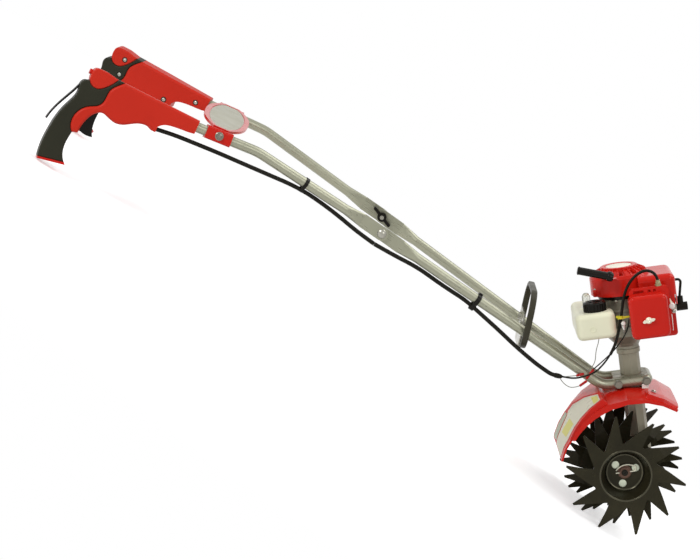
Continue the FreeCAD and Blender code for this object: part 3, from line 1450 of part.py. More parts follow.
def build_cables():
    """Cable sheath under the right handle, split at the fold, and the bare cable beyond it."""
    under = Vector(-0.68, 0, -0.733)
    aside = under * (size("tube_dia/2") - 9.5)
    split = FOLD + LEFT * -118 + under * 24 + aside
    grip = grip_place(-1)
    upper = [grip.multVec(Vector(66.9, -35.2, 0)), grip.multVec(Vector(28, -30.5, 0))]
    stretch = size("grip_back - fold_back") / 310
    upper += [FOLD + Vector(x * stretch, y, z * stretch) + aside for x, y, z in UPPER_CABLE]
    upper.append(split + UPPER_WAY * 1.2)
    solid("cable_upper", cord(upper, size("cable_dia")).cut(working_shape("grip_shell_right")))
    lower = [split] + [Vector(point) + aside for point in LOWER_CABLE]
    sheath = cord(lower, size("cable_dia"))
    solid("cable_lower", sheath)
    wire = [lower[-1]] + [Vector(point) for point in WIRE]
    solid("throttle_cable", cord(wire, size("wire_dia")).cut(sheath))


build_cables()


# --- writing the files -----------------------------------------------------------

doc.recompute()
faults = []
for item in doc.Objects:
    if "Invalid" in item.State or "Error" in item.State:
        faults.append("%s: %s" % (item.Label, item.State))
for piece in pieces:
    if piece.Shape.isNull() or not piece.Shape.isValid() or len(piece.Shape.Solids) != 1:
        faults.append("%s: bad shape" % piece.Label)
if faults:
    raise RuntimeError("; ".join(faults))
os.makedirs("parts", exist_ok=True)
for piece in pieces:
    piece.Shape.exportStep("parts/%s.step" % piece.Label)
print("%d sub-parts written" % len(pieces))
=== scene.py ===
"""Looks of the garden tiller: camera, light, materials and the small pieces on the CAD frame."""

import json
import math

import bmesh
import bpy
from mathutils import Matrix, Vector

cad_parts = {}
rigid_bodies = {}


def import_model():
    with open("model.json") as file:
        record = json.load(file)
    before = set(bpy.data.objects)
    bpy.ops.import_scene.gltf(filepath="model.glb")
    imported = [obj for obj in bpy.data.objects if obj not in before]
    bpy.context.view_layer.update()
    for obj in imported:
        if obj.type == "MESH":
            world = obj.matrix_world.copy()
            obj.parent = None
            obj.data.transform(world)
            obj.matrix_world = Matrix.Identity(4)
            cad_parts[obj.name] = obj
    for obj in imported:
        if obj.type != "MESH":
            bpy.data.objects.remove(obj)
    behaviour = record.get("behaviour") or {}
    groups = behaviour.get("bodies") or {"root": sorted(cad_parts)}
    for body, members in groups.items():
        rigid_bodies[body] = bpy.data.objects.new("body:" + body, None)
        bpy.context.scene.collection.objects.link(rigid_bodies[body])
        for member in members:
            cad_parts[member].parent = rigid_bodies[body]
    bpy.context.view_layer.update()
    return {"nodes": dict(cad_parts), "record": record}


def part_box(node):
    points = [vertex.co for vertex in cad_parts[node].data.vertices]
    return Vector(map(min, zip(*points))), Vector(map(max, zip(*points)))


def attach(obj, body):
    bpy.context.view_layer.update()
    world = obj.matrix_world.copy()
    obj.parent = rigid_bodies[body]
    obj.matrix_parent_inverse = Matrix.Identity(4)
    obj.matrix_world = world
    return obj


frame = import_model()
MM = 0.001
FORWARD, LEFT, UP = Vector((1, 0, 0)), Vector((0, 1, 0)), Vector((0, 0, 1))
RIGHT, DOWN = -LEFT, -UP


# --- the machine's own frame, in millimetres from the axle with the column upright ---

FOLD_X, FOLD_Z = -400, 523


def middle(node):
    """Middle of a CAD node's box."""
    low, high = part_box(node)
    return (Vector(low) + Vector(high)) / 2


def named(rows, name):
    """The row of a list of the record that has this name."""
    return next(row for row in rows if row["name"] == name)


AXLE = middle("axle")
fold_parked = Vector(named(frame["record"]["behaviour"]["joints"], "handle_fold")["pos_m"]) - AXLE
LAID_BACK = math.atan2(fold_parked.z, fold_parked.x) - math.atan2(FOLD_Z, FOLD_X)
PARKED = Matrix.Translation(AXLE) @ Matrix.Rotation(-LAID_BACK, 4, "Y")


def spot(x, y, z):
    """A point given in the machine's own frame, where it lies as parked."""
    return PARKED @ (Vector((x, y, z)) * MM)


# --- camera ---------------------------------------------------------------------

LEAN = math.radians(7.5)          # of the machine in the view, backwards
AZIMUTH = math.radians(0.7)
ELEVATION = math.radians(9.6)
SENSOR_MM = 36
LENS_MM = 145.542857
DISTANCE = 5.377                  # metres, to the plane of the aimed point
AIM = Vector((0, -0.106, 0))      # near end of the tines
AIM_ASIDE, AIM_BELOW = 0.5244, 0.37221   # metres, where it stands from the middle of the view


def add_camera():
    """The view of the machine from its right side; the camera is rolled with the parked machine."""
    back = Vector((math.sin(AZIMUTH) * math.cos(ELEVATION),
                   -math.cos(AZIMUTH) * math.cos(ELEVATION), math.sin(ELEVATION)))
    right = Vector((math.cos(AZIMUTH), math.sin(AZIMUTH), 0))
    up = back.cross(right)
    place = AIM - right * AIM_ASIDE + up * AIM_BELOW + back * DISTANCE
    turned_to = Matrix((right, up, back)).transposed().to_4x4()
    data = bpy.data.cameras.new("camera")
    data.sensor_width = SENSOR_MM
    data.lens = LENS_MM
    data.clip_end = 50
    camera = bpy.data.objects.new("camera", data)
    camera.matrix_world = PARKED @ Matrix.Rotation(LEAN, 4, "Y") @ Matrix.Translation(place) @ turned_to
    bpy.context.collection.objects.link(camera)
    bpy.context.scene.camera = camera
    return camera


# --- light and floor -------------------------------------------------------------

AMBIENT = 0.34
FLOOR_HALF = 12
FLOOR_TONE, FLOOR_GLOW = 0.86, 0.5
FADE_START, FADE_END = 0.75, 1.5      # metres from the middle, where the floor turns to plain white


def add_lamp(name, place, towards, size, watts):
    """A square soft lamp, aimed at a point."""
    data = bpy.data.lights.new(name, "AREA")
    data.size = size
    data.energy = watts
    lamp = bpy.data.objects.new(name, data)
    lamp.location = place
    lamp.rotation_euler = (towards - place).to_track_quat("-Z", "Y").to_euler()
    bpy.context.collection.objects.link(lamp)


def lit(nodes, kind, strength):
    """A background or emission shader of one strength."""
    node = nodes.new(kind)
    node.inputs["Color"].default_value = (1, 1, 1, 1)
    node.inputs["Strength"].default_value = strength
    return node.outputs[0]


def mixed(nodes, links, share, first, second):
    """Two shaders mixed by a share."""
    mix = nodes.new("ShaderNodeMixShader")
    for source, socket in zip((share, first, second), mix.inputs):
        links.new(source, socket)
    return mix.outputs[0]


def greater(nodes, links, first, second):
    """The greater of two values."""
    node = nodes.new("ShaderNodeMath")
    node.operation = "MAXIMUM"
    links.new(first, node.inputs[0])
    links.new(second, node.inputs[1])
    return node.outputs[0]


def white_for_camera(nodes, links, plain, white):
    """'white' where the camera, a reflection or a view through glass meets it, and 'plain' for the light."""
    path = nodes.new("ShaderNodeLightPath").outputs
    mirrored = greater(nodes, links, path["Is Glossy Ray"], path["Is Transmission Ray"])
    return mixed(nodes, links, greater(nodes, links, path["Is Camera Ray"], mirrored), plain, white)


def add_world():
    """White world that lights the object evenly and faintly."""
    world = bpy.data.worlds.new("studio")
    bpy.context.scene.world = world
    world.use_nodes = True
    nodes, links = world.node_tree.nodes, world.node_tree.links
    nodes.clear()
    ambient, white = (lit(nodes, "ShaderNodeBackground", strength) for strength in (AMBIENT, 1))
    output = nodes.new("ShaderNodeOutputWorld")
    links.new(white_for_camera(nodes, links, ambient, white), output.inputs["Surface"])


def add_floor():
    """Pale floor that keeps the object's shadow and turns to plain white away from it."""
    mesh = bpy.data.meshes.new("floor")
    corners = [(-1, -1), (1, -1), (1, 1), (-1, 1)]
    mesh.from_pydata([(x * FLOOR_HALF, y * FLOOR_HALF, 0) for x, y in corners], [], [(0, 1, 2, 3)])
    floor = bpy.data.objects.new("floor", mesh)
    bpy.context.collection.objects.link(floor)
    paint = bpy.data.materials.new("floor_white")
    paint.use_nodes = True
    nodes, links = paint.node_tree.nodes, paint.node_tree.links
    nodes.clear()
    matt = nodes.new("ShaderNodeBsdfDiffuse")
    matt.inputs["Color"].default_value = (FLOOR_TONE, FLOOR_TONE, FLOOR_TONE, 1)
    glowing = nodes.new("ShaderNodeAddShader")
    links.new(matt.outputs[0], glowing.inputs[0])
    links.new(lit(nodes, "ShaderNodeEmission", FLOOR_GLOW), glowing.inputs[1])
    place = nodes.new("ShaderNodeTexCoord")
    away = nodes.new("ShaderNodeVectorMath")
    away.operation = "LENGTH"
    links.new(place.outputs["Object"], away.inputs[0])
    fade = nodes.new("ShaderNodeMapRange")
    fade.inputs["From Min"].default_value = FADE_START
    fade.inputs["From Max"].default_value = FADE_END
    links.new(away.outputs["Value"], fade.inputs["Value"])
    white = lit(nodes, "ShaderNodeEmission", 1)
    paler = mixed(nodes, links, fade.outputs["Result"], glowing.outputs[0], white)
    output = nodes.new("ShaderNodeOutputMaterial")
    links.new(white_for_camera(nodes, links, matt.outputs[0], paler), output.inputs["Surface"])
    mesh.materials.append(paint)


def add_lamps(camera):
    """Key and fill placed with the camera, and a soft lamp above."""
    view = camera.matrix_world
    target = spot(-150, 0, 300)
    add_lamp("key", view @ Vector((-1.6, 2.6, -2.6)), target, 1.0, 74)
    add_lamp("fill", view @ Vector((2.4, 0.6, -1.8)), target, 1.6, 30)
    add_lamp("top", target + Vector((0.2, 0.3, 2.6)), target, 1.8, 34)


bpy.context.scene.view_settings.view_transform = "Standard"
camera = add_camera()
add_world()
add_floor()
add_lamps(camera)


# --- materials --------------------------------------------------------------------

def shader(name, rough, metallic=0.0, specular=0.5):
    """A material with one principled shader, and its node tree."""
    material = bpy.data.materials.new(name)
    material.use_nodes = True
    nodes, links = material.node_tree.nodes, material.node_tree.links
    principled = nodes["Principled BSDF"]
    principled.inputs["Metallic"].default_value = metallic
    principled.inputs["Roughness"].default_value = rough
    principled.inputs["Specular IOR Level"].default_value = specular
    return material, nodes, links, principled


def noise(nodes, links, scale, detail, stretch=(1, 1, 1)):
    """Noise in object space, stretched along the axes."""
    place = nodes.new("ShaderNodeTexCoord")
    mapping = nodes.new("ShaderNodeMapping")
    mapping.inputs["Scale"].default_value = stretch
    links.new(place.outputs["Object"], mapping.inputs["Vector"])
    texture = nodes.new("ShaderNodeTexNoise")
    texture.inputs["Scale"].default_value = scale
    texture.inputs["Detail"].default_value = detail
    texture.inputs["Roughness"].default_value = 0.55
    links.new(mapping.outputs["Vector"], texture.inputs["Vector"])
    return texture.outputs["Fac"]


def clouded(nodes, links, principled, colour, vary, source):
    """Base colour a little darker and paler by turns, following 'source'."""
    node = nodes.new("ShaderNodeValToRGB")
    for element, place, factor in zip(node.color_ramp.elements, (0.3, 0.7), (1 - vary, 1 + vary)):
        element.position = place
        element.color = (*(min(1, channel * factor) for channel in colour), 1)
    links.new(source, node.inputs["Fac"])
    links.new(node.outputs["Color"], principled.inputs["Base Color"])


def uneven(nodes, links, principled, low, high, source):
    """Roughness between two limits, following 'source'."""
    node = nodes.new("ShaderNodeMapRange")
    for socket, value in (("From Min", 0.3), ("From Max", 0.7), ("To Min", low), ("To Max", high)):
        node.inputs[socket].default_value = value
    links.new(source, node.inputs["Value"])
    links.new(node.outputs["Result"], principled.inputs["Roughness"])


def bump(nodes, links, principled, strength, depth_mm, source):
    """Fine relief, following 'source'."""
    node = nodes.new("ShaderNodeBump")
    node.inputs["Strength"].default_value = strength
    node.inputs["Distance"].default_value = depth_mm * MM
    links.new(source, node.inputs["Height"])
    links.new(node.outputs["Normal"], principled.inputs["Normal"])


def moulded(name, colour, rough, vary, grain=0.0, grain_scale=900, specular=0.5, clear=0.0):
    """Moulded plastic: faint cloudiness, uneven gloss and fine grain."""
    material, nodes, links, principled = shader(name, rough, specular=specular)
    principled.inputs["Transmission Weight"].default_value = clear
    clouded(nodes, links, principled, colour, vary, noise(nodes, links, 9, 3))
    uneven(nodes, links, principled, rough * 0.85, rough * 1.2, noise(nodes, links, 30, 5))
    if grain:
        bump(nodes, links, principled, grain, 0.2, noise(nodes, links, grain_scale, 2))
    return material


def metal(name, colour, rough, metallic, vary, grain, stretch=(1, 1, 1), scale=60, specular=0.5):
    """Metal with stained colour, uneven gloss and a drawn or cast surface."""
    material, nodes, links, principled = shader(name, rough, metallic, specular)
    clouded(nodes, links, principled, colour, vary, noise(nodes, links, 14, 5))
    uneven(nodes, links, principled, rough * 0.8, rough * 1.3, noise(nodes, links, scale, 5, stretch))
    bump(nodes, links, principled, grain, 0.3, noise(nodes, links, scale * 6, 3, stretch))
    return material


PRINTED = dict(grain=0.02, grain_scale=400)      # smooth face of a label
# Colour, roughness, how much the colour varies; then grain, its scale, specular level, clearness.
PLASTICS = {
    "red_plastic": dict(colour=(0.56, 0.013, 0.006), rough=0.2, vary=0.05, specular=0.16),
    "grip_red": dict(colour=(0.54, 0.024, 0.011), rough=0.36, vary=0.04, grain=0.15, grain_scale=800,
                     specular=0.12),
    "black_plastic": dict(colour=(0.006, 0.005, 0.003), rough=0.26, vary=0.2, grain=0.1, specular=0.14),
    "black_rubber": dict(colour=(0.008, 0.007, 0.004), rough=0.45, vary=0.2, grain=0.15, specular=0.12),
    "grip_black": dict(colour=(0.021, 0.021, 0.012), rough=0.45, vary=0.15, grain=0.3, grain_scale=700,
                       specular=0.14),
    "hoop_black": dict(colour=(0.040, 0.037, 0.023), rough=0.4, vary=0.1, grain=0.1, specular=0.16),
    "tank_plastic": dict(colour=(0.80, 0.79, 0.59), rough=0.34, vary=0.04, grain=0.05, specular=0.2),
    "clear_plastic": dict(colour=(0.86, 0.87, 0.80), rough=0.12, vary=0.03, clear=0.75),
    "white_plastic": dict(colour=(0.84, 0.84, 0.78), rough=0.3, vary=0.04, grain=0.03),
    "badge_white": dict(colour=(0.86, 0.83, 0.69), rough=0.3, vary=0.04, specular=0.3, **PRINTED),
    "label_white": dict(colour=(0.62, 0.60, 0.47), rough=0.3, vary=0.07, specular=0.3, **PRINTED),
    "label_grey": dict(colour=(0.36, 0.35, 0.26), rough=0.34, vary=0.06, specular=0.2, **PRINTED),
    "label_green": dict(colour=(0.38, 0.40, 0.29), rough=0.3, vary=0.06, specular=0.3, **PRINTED),
    "label_yellow": dict(colour=(0.60, 0.56, 0.13), rough=0.3, vary=0.08, specular=0.3, **PRINTED),
    "yellow": dict(colour=(0.62, 0.55, 0.03), rough=0.34, vary=0.08, grain=0.05, specular=0.2),
    "grey_wire": dict(colour=(0.25, 0.25, 0.20), rough=0.4, vary=0.1, grain=0.05, specular=0.3),
    "connector_red": dict(colour=(0.45, 0.012, 0.012), rough=0.28, vary=0.08, specular=0.2),
}
# Colour, roughness, metallic share, how much the colour varies, relief; then stretch, scale, specular level.
METALS = {
    "tube_alloy": dict(colour=(0.30, 0.30, 0.22), rough=0.3, metallic=0.5, vary=0.07, grain=0.04,
                       stretch=(1, 8, 8), scale=40),
    "casting": dict(colour=(0.28, 0.26, 0.19), rough=0.42, metallic=0.45, vary=0.15, grain=0.3),
    "engine_casting": dict(colour=(0.24, 0.23, 0.18), rough=0.44, metallic=0.5, vary=0.2, grain=0.3,
                           specular=0.3),
    "clutch_alloy": dict(colour=(0.24, 0.225, 0.17), rough=0.4, metallic=0.5, vary=0.15, grain=0.2),
    "bright_steel": dict(colour=(0.36, 0.35, 0.30), rough=0.24, metallic=0.85, vary=0.15, grain=0.05),
    "bolt_steel": dict(colour=(0.20, 0.19, 0.155), rough=0.3, metallic=0.7, vary=0.15, grain=0.08,
                       specular=0.3),
    "clip_steel": dict(colour=(0.78, 0.75, 0.60), rough=0.3, metallic=0.5, vary=0.06, grain=0.03),
    "rivet_steel": dict(colour=(0.62, 0.66, 0.52), rough=0.4, metallic=0.4, vary=0.05, grain=0.05),
    "dark_steel": dict(colour=(0.016, 0.014, 0.010), rough=0.3, metallic=0.4, vary=0.25, grain=0.1,
                       specular=0.2),
    "hub_steel": dict(colour=(0.15, 0.085, 0.06), rough=0.46, metallic=0.3, vary=0.25, grain=0.15,
                      specular=0.2),
    "brass": dict(colour=(0.30, 0.26, 0.14), rough=0.34, metallic=0.7, vary=0.1, grain=0.08),
    "muffler_steel": dict(colour=(0.17, 0.15, 0.12), rough=0.38, metallic=0.8, vary=0.3, grain=0.1),
    "tine_steel": dict(colour=(0.024, 0.021, 0.010), rough=0.34, metallic=0.2, vary=0.35, grain=0.12,
                       specular=0.14),
    "dish_steel": dict(colour=(0.060, 0.055, 0.036), rough=0.2, metallic=0.85, vary=0.25, grain=0.05),
}
LOOKS = {name: moulded(name, **values) for name, values in PLASTICS.items()}
LOOKS.update((name, metal(name, **values)) for name, values in METALS.items())

# CAD nodes whose look isn't that of their material slot.
OWN_LOOK = {
    "grip_handle_right": "grip_black", "grip_handle_left": "grip_black",
    "grip_shell_right": "grip_red", "grip_shell_left": "grip_red",
    "grip_thumb_right": "grip_red", "grip_thumb_left": "grip_red",
    "carry_hoop": "hoop_black", "priming_bulb": "clear_plastic",
    "hairpin_right": "clip_steel", "hairpin_left": "clip_steel",
    "tine_hub_right": "hub_steel", "tine_hub_left": "hub_steel", "axle": "dark_steel",
    "engine_block": "engine_casting", "carburettor": "engine_casting",
    "clamp_bolt_front": "bolt_steel", "clamp_bolt_rear": "bolt_steel",
}


def dress_cad():
    """Give every CAD node its own finished material."""
    slots = {part["node"]: part["material_slot"] for part in frame["record"]["subparts"]}
    for name, node in frame["nodes"].items():
        look = LOOKS[OWN_LOOK.get(name, slots[name])]
        for holder in [node] + list(node.children_recursive):
            if holder.type == "MESH":
                holder.data.materials.clear()
                holder.data.materials.append(look)


dress_cad()


# --- making pieces, in millimetres in the machine's own frame ------------------------

SMOOTH_BELOW = math.radians(32)
BEVEL_ABOVE = math.radians(40)


def polar(degrees, radius):
    """The two coordinates of a point on a circle."""
    turn = math.radians(degrees)
    return radius * math.cos(turn), radius * math.sin(turn)


def piece(name, form, body, look, bevel=0.0):
    """Put a mesh into the scene as a piece that rides on a body."""
    bmesh.ops.recalc_face_normals(form, faces=form.faces)
    for vertex in form.verts:
        vertex.co = spot(*vertex.co)
    mesh = bpy.data.meshes.new(name)
    form.to_mesh(mesh)
    form.free()
    mesh.shade_smooth()
    mesh.set_sharp_from_angle(angle=SMOOTH_BELOW)
    thing = bpy.data.objects.new(name, mesh)
    bpy.context.collection.objects.link(thing)
    mesh.materials.append(LOOKS[look])
    if bevel:
        edges = thing.modifiers.new("edges", "BEVEL")
        edges.width = bevel * MM
        edges.segments = 2
        edges.limit_method = "ANGLE"
        edges.angle_limit = BEVEL_ABOVE
    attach(thing, body)


def circle(form, centre, side, other, radius, steps):
    """Points of a circle in the plane of two directions."""
    turns = (math.tau * step / steps for step in range(steps))
    return [form.verts.new(centre + (side * math.cos(turn) + other * math.sin(turn)) * radius)
            for turn in turns]


def turned(form, place, way, profile, steps=28, closed=False):
    """Turn a profile of (radius, height) pairs round a line; closed joins its ends."""
    way = Vector(way).normalized()
    side = way.orthogonal().normalized()
    other = way.cross(side)
    rows = []
    for radius, height in profile:
        centre = Vector(place) + way * height
        rows.append(circle(form, centre, side, other, radius, steps) if radius else [form.verts.new(centre)])
    if closed:
        rows.append(rows[0])
    for low, high in zip(rows, rows[1:]):
        for step in range(steps):
            ahead = (step + 1) % steps
            corners = [low[step % len(low)], low[ahead % len(low)],
                       high[ahead % len(high)], high[step % len(high)]]
            corners = list(dict.fromkeys(corners))
            if len(corners) > 2:
                form.faces.new(corners)


def slab(form, corners, through):
    """A flat outline carried through by a vector."""
    near = [form.verts.new(Vector(corner)) for corner in corners]
    far = [form.verts.new(Vector(corner) + Vector(through)) for corner in corners]
    form.faces.new(near)
    form.faces.new(far[::-1])
    for index in range(len(near)):
        ahead = (index + 1) % len(near)
        form.faces.new([near[ahead], near[index], far[index], far[ahead]])


def hexagon(form, place, way, radius, high, turn=0.0):
    """A hexagon head with chamfered corners."""
    way = Vector(way).normalized()
    side = Matrix.Rotation(turn, 3, way) @ way.orthogonal().normalized()
    other = way.cross(side)
    rows = [circle(form, Vector(place) + way * level, side, other, size, 6)
            for size, level in ((radius, 0), (radius, high * 0.82), (radius * 0.84, high))]
    form.faces.new(rows[0][::-1])
    form.faces.new(rows[-1])
    for low, top in zip(rows, rows[1:]):
        for step in range(6):
            ahead = (step + 1) % 6
            form.faces.new([low[step], low[ahead], top[ahead], top[step]])


def screw(form, place, way, radius):
    """A pan-head screw with a recess, on its washer."""
    turned(form, place, way, [(radius * 1.25, 0), (radius * 1.25, 0.5), (radius, 0.7), (radius, 1.4),
                              (radius * 0.8, 2.1), (radius * 0.5, 2.4), (radius * 0.42, 1.5), (0, 1.2)], 20)


def strap(form, rounds, way, wide, thick, steps=10):
    """A band pulled tight round two circles (centre, radius) in the plane square to 'way'."""
    way = Vector(way).normalized()
    (first, first_radius), (second, second_radius) = rounds
    first, second = Vector(first), Vector(second)
    second = second - way * (second - first).dot(way)
    apart = second - first
    onward = apart.normalized()
    aside = way.cross(onward)
    lean = math.asin((first_radius - second_radius) / apart.length)
    quarter = math.pi / 2
    section = ((0.1, -wide / 2), (0.1, wide / 2), (thick, wide / 2), (thick, -wide / 2))
    rows = []
    for centre, radius, start, end in ((second, second_radius, lean - quarter, quarter - lean),
                                       (first, first_radius, quarter - lean, 3 * quarter + lean)):
        for step in range(steps + 1):
            angle = start + (end - start) * step / steps
            out = onward * math.cos(angle) + aside * math.sin(angle)
            rows.append([form.verts.new(centre + out * (radius + deep) + way * shift)
                         for deep, shift in section])
    for row, following in zip(rows, rows[1:] + rows[:1]):
        for index in range(4):
            ahead = (index + 1) % 4
            form.faces.new([row[index], row[ahead], following[ahead], following[index]])


def wire(name, points, radius, look):
    """A thin lead of the machine on a smooth line."""
    data = bpy.data.curves.new(name, "CURVE")
    data.dimensions = "3D"
    data.bevel_depth = radius * MM
    data.bevel_resolution = 3
    data.resolution_u = 6
    data.use_fill_caps = True
    line = data.splines.new("NURBS")
    line.points.add(len(points) - 1)
    for knot, point in zip(line.points, points):
        knot.co = (*spot(*point), 1)
    line.order_u = 3
    line.use_endpoint_u = True
    thing = bpy.data.objects.new(name, data)
    bpy.context.collection.objects.link(thing)
    data.materials.append(LOOKS[look])
    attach(thing, "machine")


SIDES = ((-1, "right"), (1, "left"))


# --- tines ---------------------------------------------------------------------------

FLOOR_OUT, FLOOR_IN = 73.5, 67.5      # faces of the riveted dish floors, from the middle
PLATE_OUT, PLATE_IN = 106.5, 34.5     # faces of the star plates
TIP_AT = 81.6                         # just inside the end of the axle
RIVET_CIRCLE = 22.6
DISH_MOUTH = 48.9


def add_rivets(side, word):
    """Three rivets through both dishes of a pair of tines."""
    heads, tails = bmesh.new(), bmesh.new()
    for turn in (14.5, 134.5, 254.5):
        x, z = polar(turn, RIVET_CIRCLE)
        turned(heads, (x, side * FLOOR_OUT, z), (0, side, 0),
               [(7.4, -0.5), (7.4, 0.4), (6.9, 0.8), (5.4, 1.02), (0, 1.1)])
        turned(tails, (x, side * FLOOR_IN, z), (0, -side, 0),
               [(5.2, -0.5), (5.2, 1.2), (4.2, 2.2), (2, 2.5), (0, 2.5)])
    piece("rivets_" + word, heads, "tines", "rivet_steel")
    piece("rivet_tails_" + word, tails, "tines", "rivet_steel")


def add_dish_lips(side, word):
    """Rolled bead at the mouth and root radius at the floor of each dish."""
    lips = bmesh.new()
    bead = [(46.9, -1.2)] + [(DISH_MOUTH - 2 * math.cos(math.pi * step / 8), 1.1 * math.sin(math.pi * step / 8))
                             for step in range(9)]
    root = [(36.2, -0.3), (32.6, -0.3), (32.8, 0.1), (34.3, 0.4), (35.6, 1.2), (36.6, 2.6), (37.4, 4.4),
            (37.8, 3.6)]
    for face, way, floor in ((PLATE_OUT, side, FLOOR_OUT), (PLATE_IN, -side, FLOOR_IN)):
        turned(lips, (0, side * face, 0), (0, way, 0), bead, 72, closed=True)
        turned(lips, (0, side * floor, 0), (0, way, 0), root, 72, closed=True)
    piece("dish_lips_" + word, lips, "tines", "dish_steel")


def add_hub_details(side, word):
    """Centred end of the axle, and the weld between hub and dish."""
    tip = bmesh.new()
    turned(tip, (0, side * TIP_AT, 0), (0, side, 0),
           [(5.9, -0.2), (5.9, 0.6), (5.2, 1.3), (1.8, 1.3), (1.4, 0.8), (0, -0.2)])
    piece("axle_tip_" + word, tip, "tines", "dark_steel")
    weld = bmesh.new()
    turned(weld, (0, side * FLOOR_OUT, 0), (0, side, 0),
           [(9.8, -0.3), (13.2, -0.3), (13.2, 0.2), (12, 0.7), (10.6, 0.9), (9.8, 0.9)], 36, closed=True)
    piece("hub_weld_" + word, weld, "tines", "hub_steel")


for side, word in SIDES:
    add_rivets(side, word)
    add_dish_lips(side, word)
    add_hub_details(side, word)


# --- gear housing, column and clamp ---------------------------------------------------

CRANK_X = 38.5                        # axis of the drive shaft and crankshaft, in front of the axle
HOOD_X, HOOD_Z, HOOD_RADIUS = 20, -8, 154     # centre and radius of the fender's outer edge


def add_gear_details():
    """Cover screws, seam and plug of the gear housing."""
    for side, word in SIDES:
        screws = bmesh.new()
        for turn in (20, 92, 164, 236, 308):
            x, z = polar(turn, 23.5)
            screw(screws, (x, side * 15.9, z), (0, side, 0), 2.6)
        piece("gear_screws_" + word, screws, "machine", "bright_steel")
    seam = bmesh.new()
    turned(seam, (0, 0, 0), LEFT, [(32, -2.2), (34.4, -2.2), (35, -1.4), (35, 1.4), (34.4, 2.2), (32, 2.2)],
           60, closed=True)
    piece("gear_seam", seam, "machine", "casting")
    plug = bmesh.new()
    turned(plug, (60, 0, 8), FORWARD, [(8, 0), (8, 1.2), (7.4, 1.6), (0, 1.6)])
    hexagon(plug, (61, 0, 8), FORWARD, 6, 4.4)
    piece("oil_plug", plug, "machine", "bright_steel")


def add_column_details():
    """Collar at the top of the column, and the pale tab beside the clamp."""
    collar = bmesh.new()
    turned(collar, (CRANK_X, 0, 0), UP,
           [(19, 216), (21.8, 216), (22.6, 217), (22.6, 225), (21.8, 226), (19, 226)], 40, closed=True)
    piece("column_collar", collar, "machine", "casting")
    tab = bmesh.new()
    slab(tab, [(53, -47.5, 152), (66, -47.5, 150.5), (66.8, -47.5, 159.5), (54, -47.5, 161)], RIGHT * 3.4)
    piece("clamp_tab", tab, "machine", "white_plastic", 0.8)


def add_fender_screws():
    """Two screws on each side of the fender's top, at an angle and radius from its own centre."""
    screws = bmesh.new()
    for side in (-1, 1):
        for angle, radius in ((71, 164.6), (111, 159.2)):
            x, z = polar(angle, 1)
            out = Vector((x, 0, z))
            screw(screws, Vector((HOOD_X, side * 66, HOOD_Z)) + out * radius, out, 4.2)
    piece("fender_screws", screws, "machine", "bright_steel")


add_gear_details()
add_column_details()
add_fender_screws()


# --- fender labels ---------------------------------------------------------------------

# Angle, outer edge (side, height) and crest (side, height) of the near rear facet, over HOOD_RADIUS.
FACET = [(106, 93.5, 12, 57, 18), (117, 93.5, 4.5, 28, 19.5), (126, 93.5, -0.5, 6, 18.5),
         (134, 93.5, -4, 2, 15.8), (141, 93.5, -7, 2, 13.8), (142.5, 95.5, -7.4, 2, 13.3),
         (150, 95.5, -5.9, 2, 10.5), (166, 95.5, -3.9, 2, 4)]
STEPS_ACROSS = 6


def facet_at(row, share):
    """A point on one row of the facet: share 0 at its outer edge, 1 at its crest."""
    angle, edge, edge_high, crest, crest_high = row
    x, z = polar(angle, HOOD_RADIUS + edge_high + (crest_high - edge_high) * share)
    return Vector((HOOD_X + x, -edge - (crest - edge) * share, HOOD_Z + z))


def facet_point(angle, share, lift):
    """A point over the facet at any angle, lifted off it."""
    low, high = next((low, high) for low, high in zip(FACET, FACET[1:]) if low[0] <= angle <= high[0])
    part = (angle - low[0]) / (high[0] - low[0])
    point = facet_at(low, share).lerp(facet_at(high, share), part)
    along = facet_at(high, share) - facet_at(low, share)
    across = facet_at(low, 1).lerp(facet_at(high, 1), part) - facet_at(low, 0).lerp(facet_at(high, 0), part)
    out = along.cross(across).normalized()
    if out.dot(point - Vector((HOOD_X, 0, HOOD_Z))) < 0:
        out = -out
    return point + out * lift


def sticker(name, outline, look, lift=0.15, thick=0.45):
    """A blank label on the facet; outline gives (angle, outer share, inner share) row by row."""
    form = bmesh.new()
    low, high = ([[form.verts.new(facet_point(angle, outer + (inner - outer) * step / STEPS_ACROSS, level))
                   for step in range(STEPS_ACROSS + 1)] for angle, outer, inner in outline]
                 for level in (lift, lift + thick))
    last = len(outline) - 1
    for row in range(last):
        for step in range(STEPS_ACROSS):
            form.faces.new([low[row][step], low[row][step + 1], low[row + 1][step + 1], low[row + 1][step]])
            form.faces.new([high[row][step], high[row + 1][step], high[row + 1][step + 1], high[row][step + 1]])
        for step in (0, STEPS_ACROSS):
            form.faces.new([low[row][step], low[row + 1][step], high[row + 1][step], high[row][step]])
    for row in (0, last):
        for step in range(STEPS_ACROSS):
            form.faces.new([low[row][step], low[row][step + 1], high[row][step + 1], high[row][step]])
    piece(name, form, "machine", look)


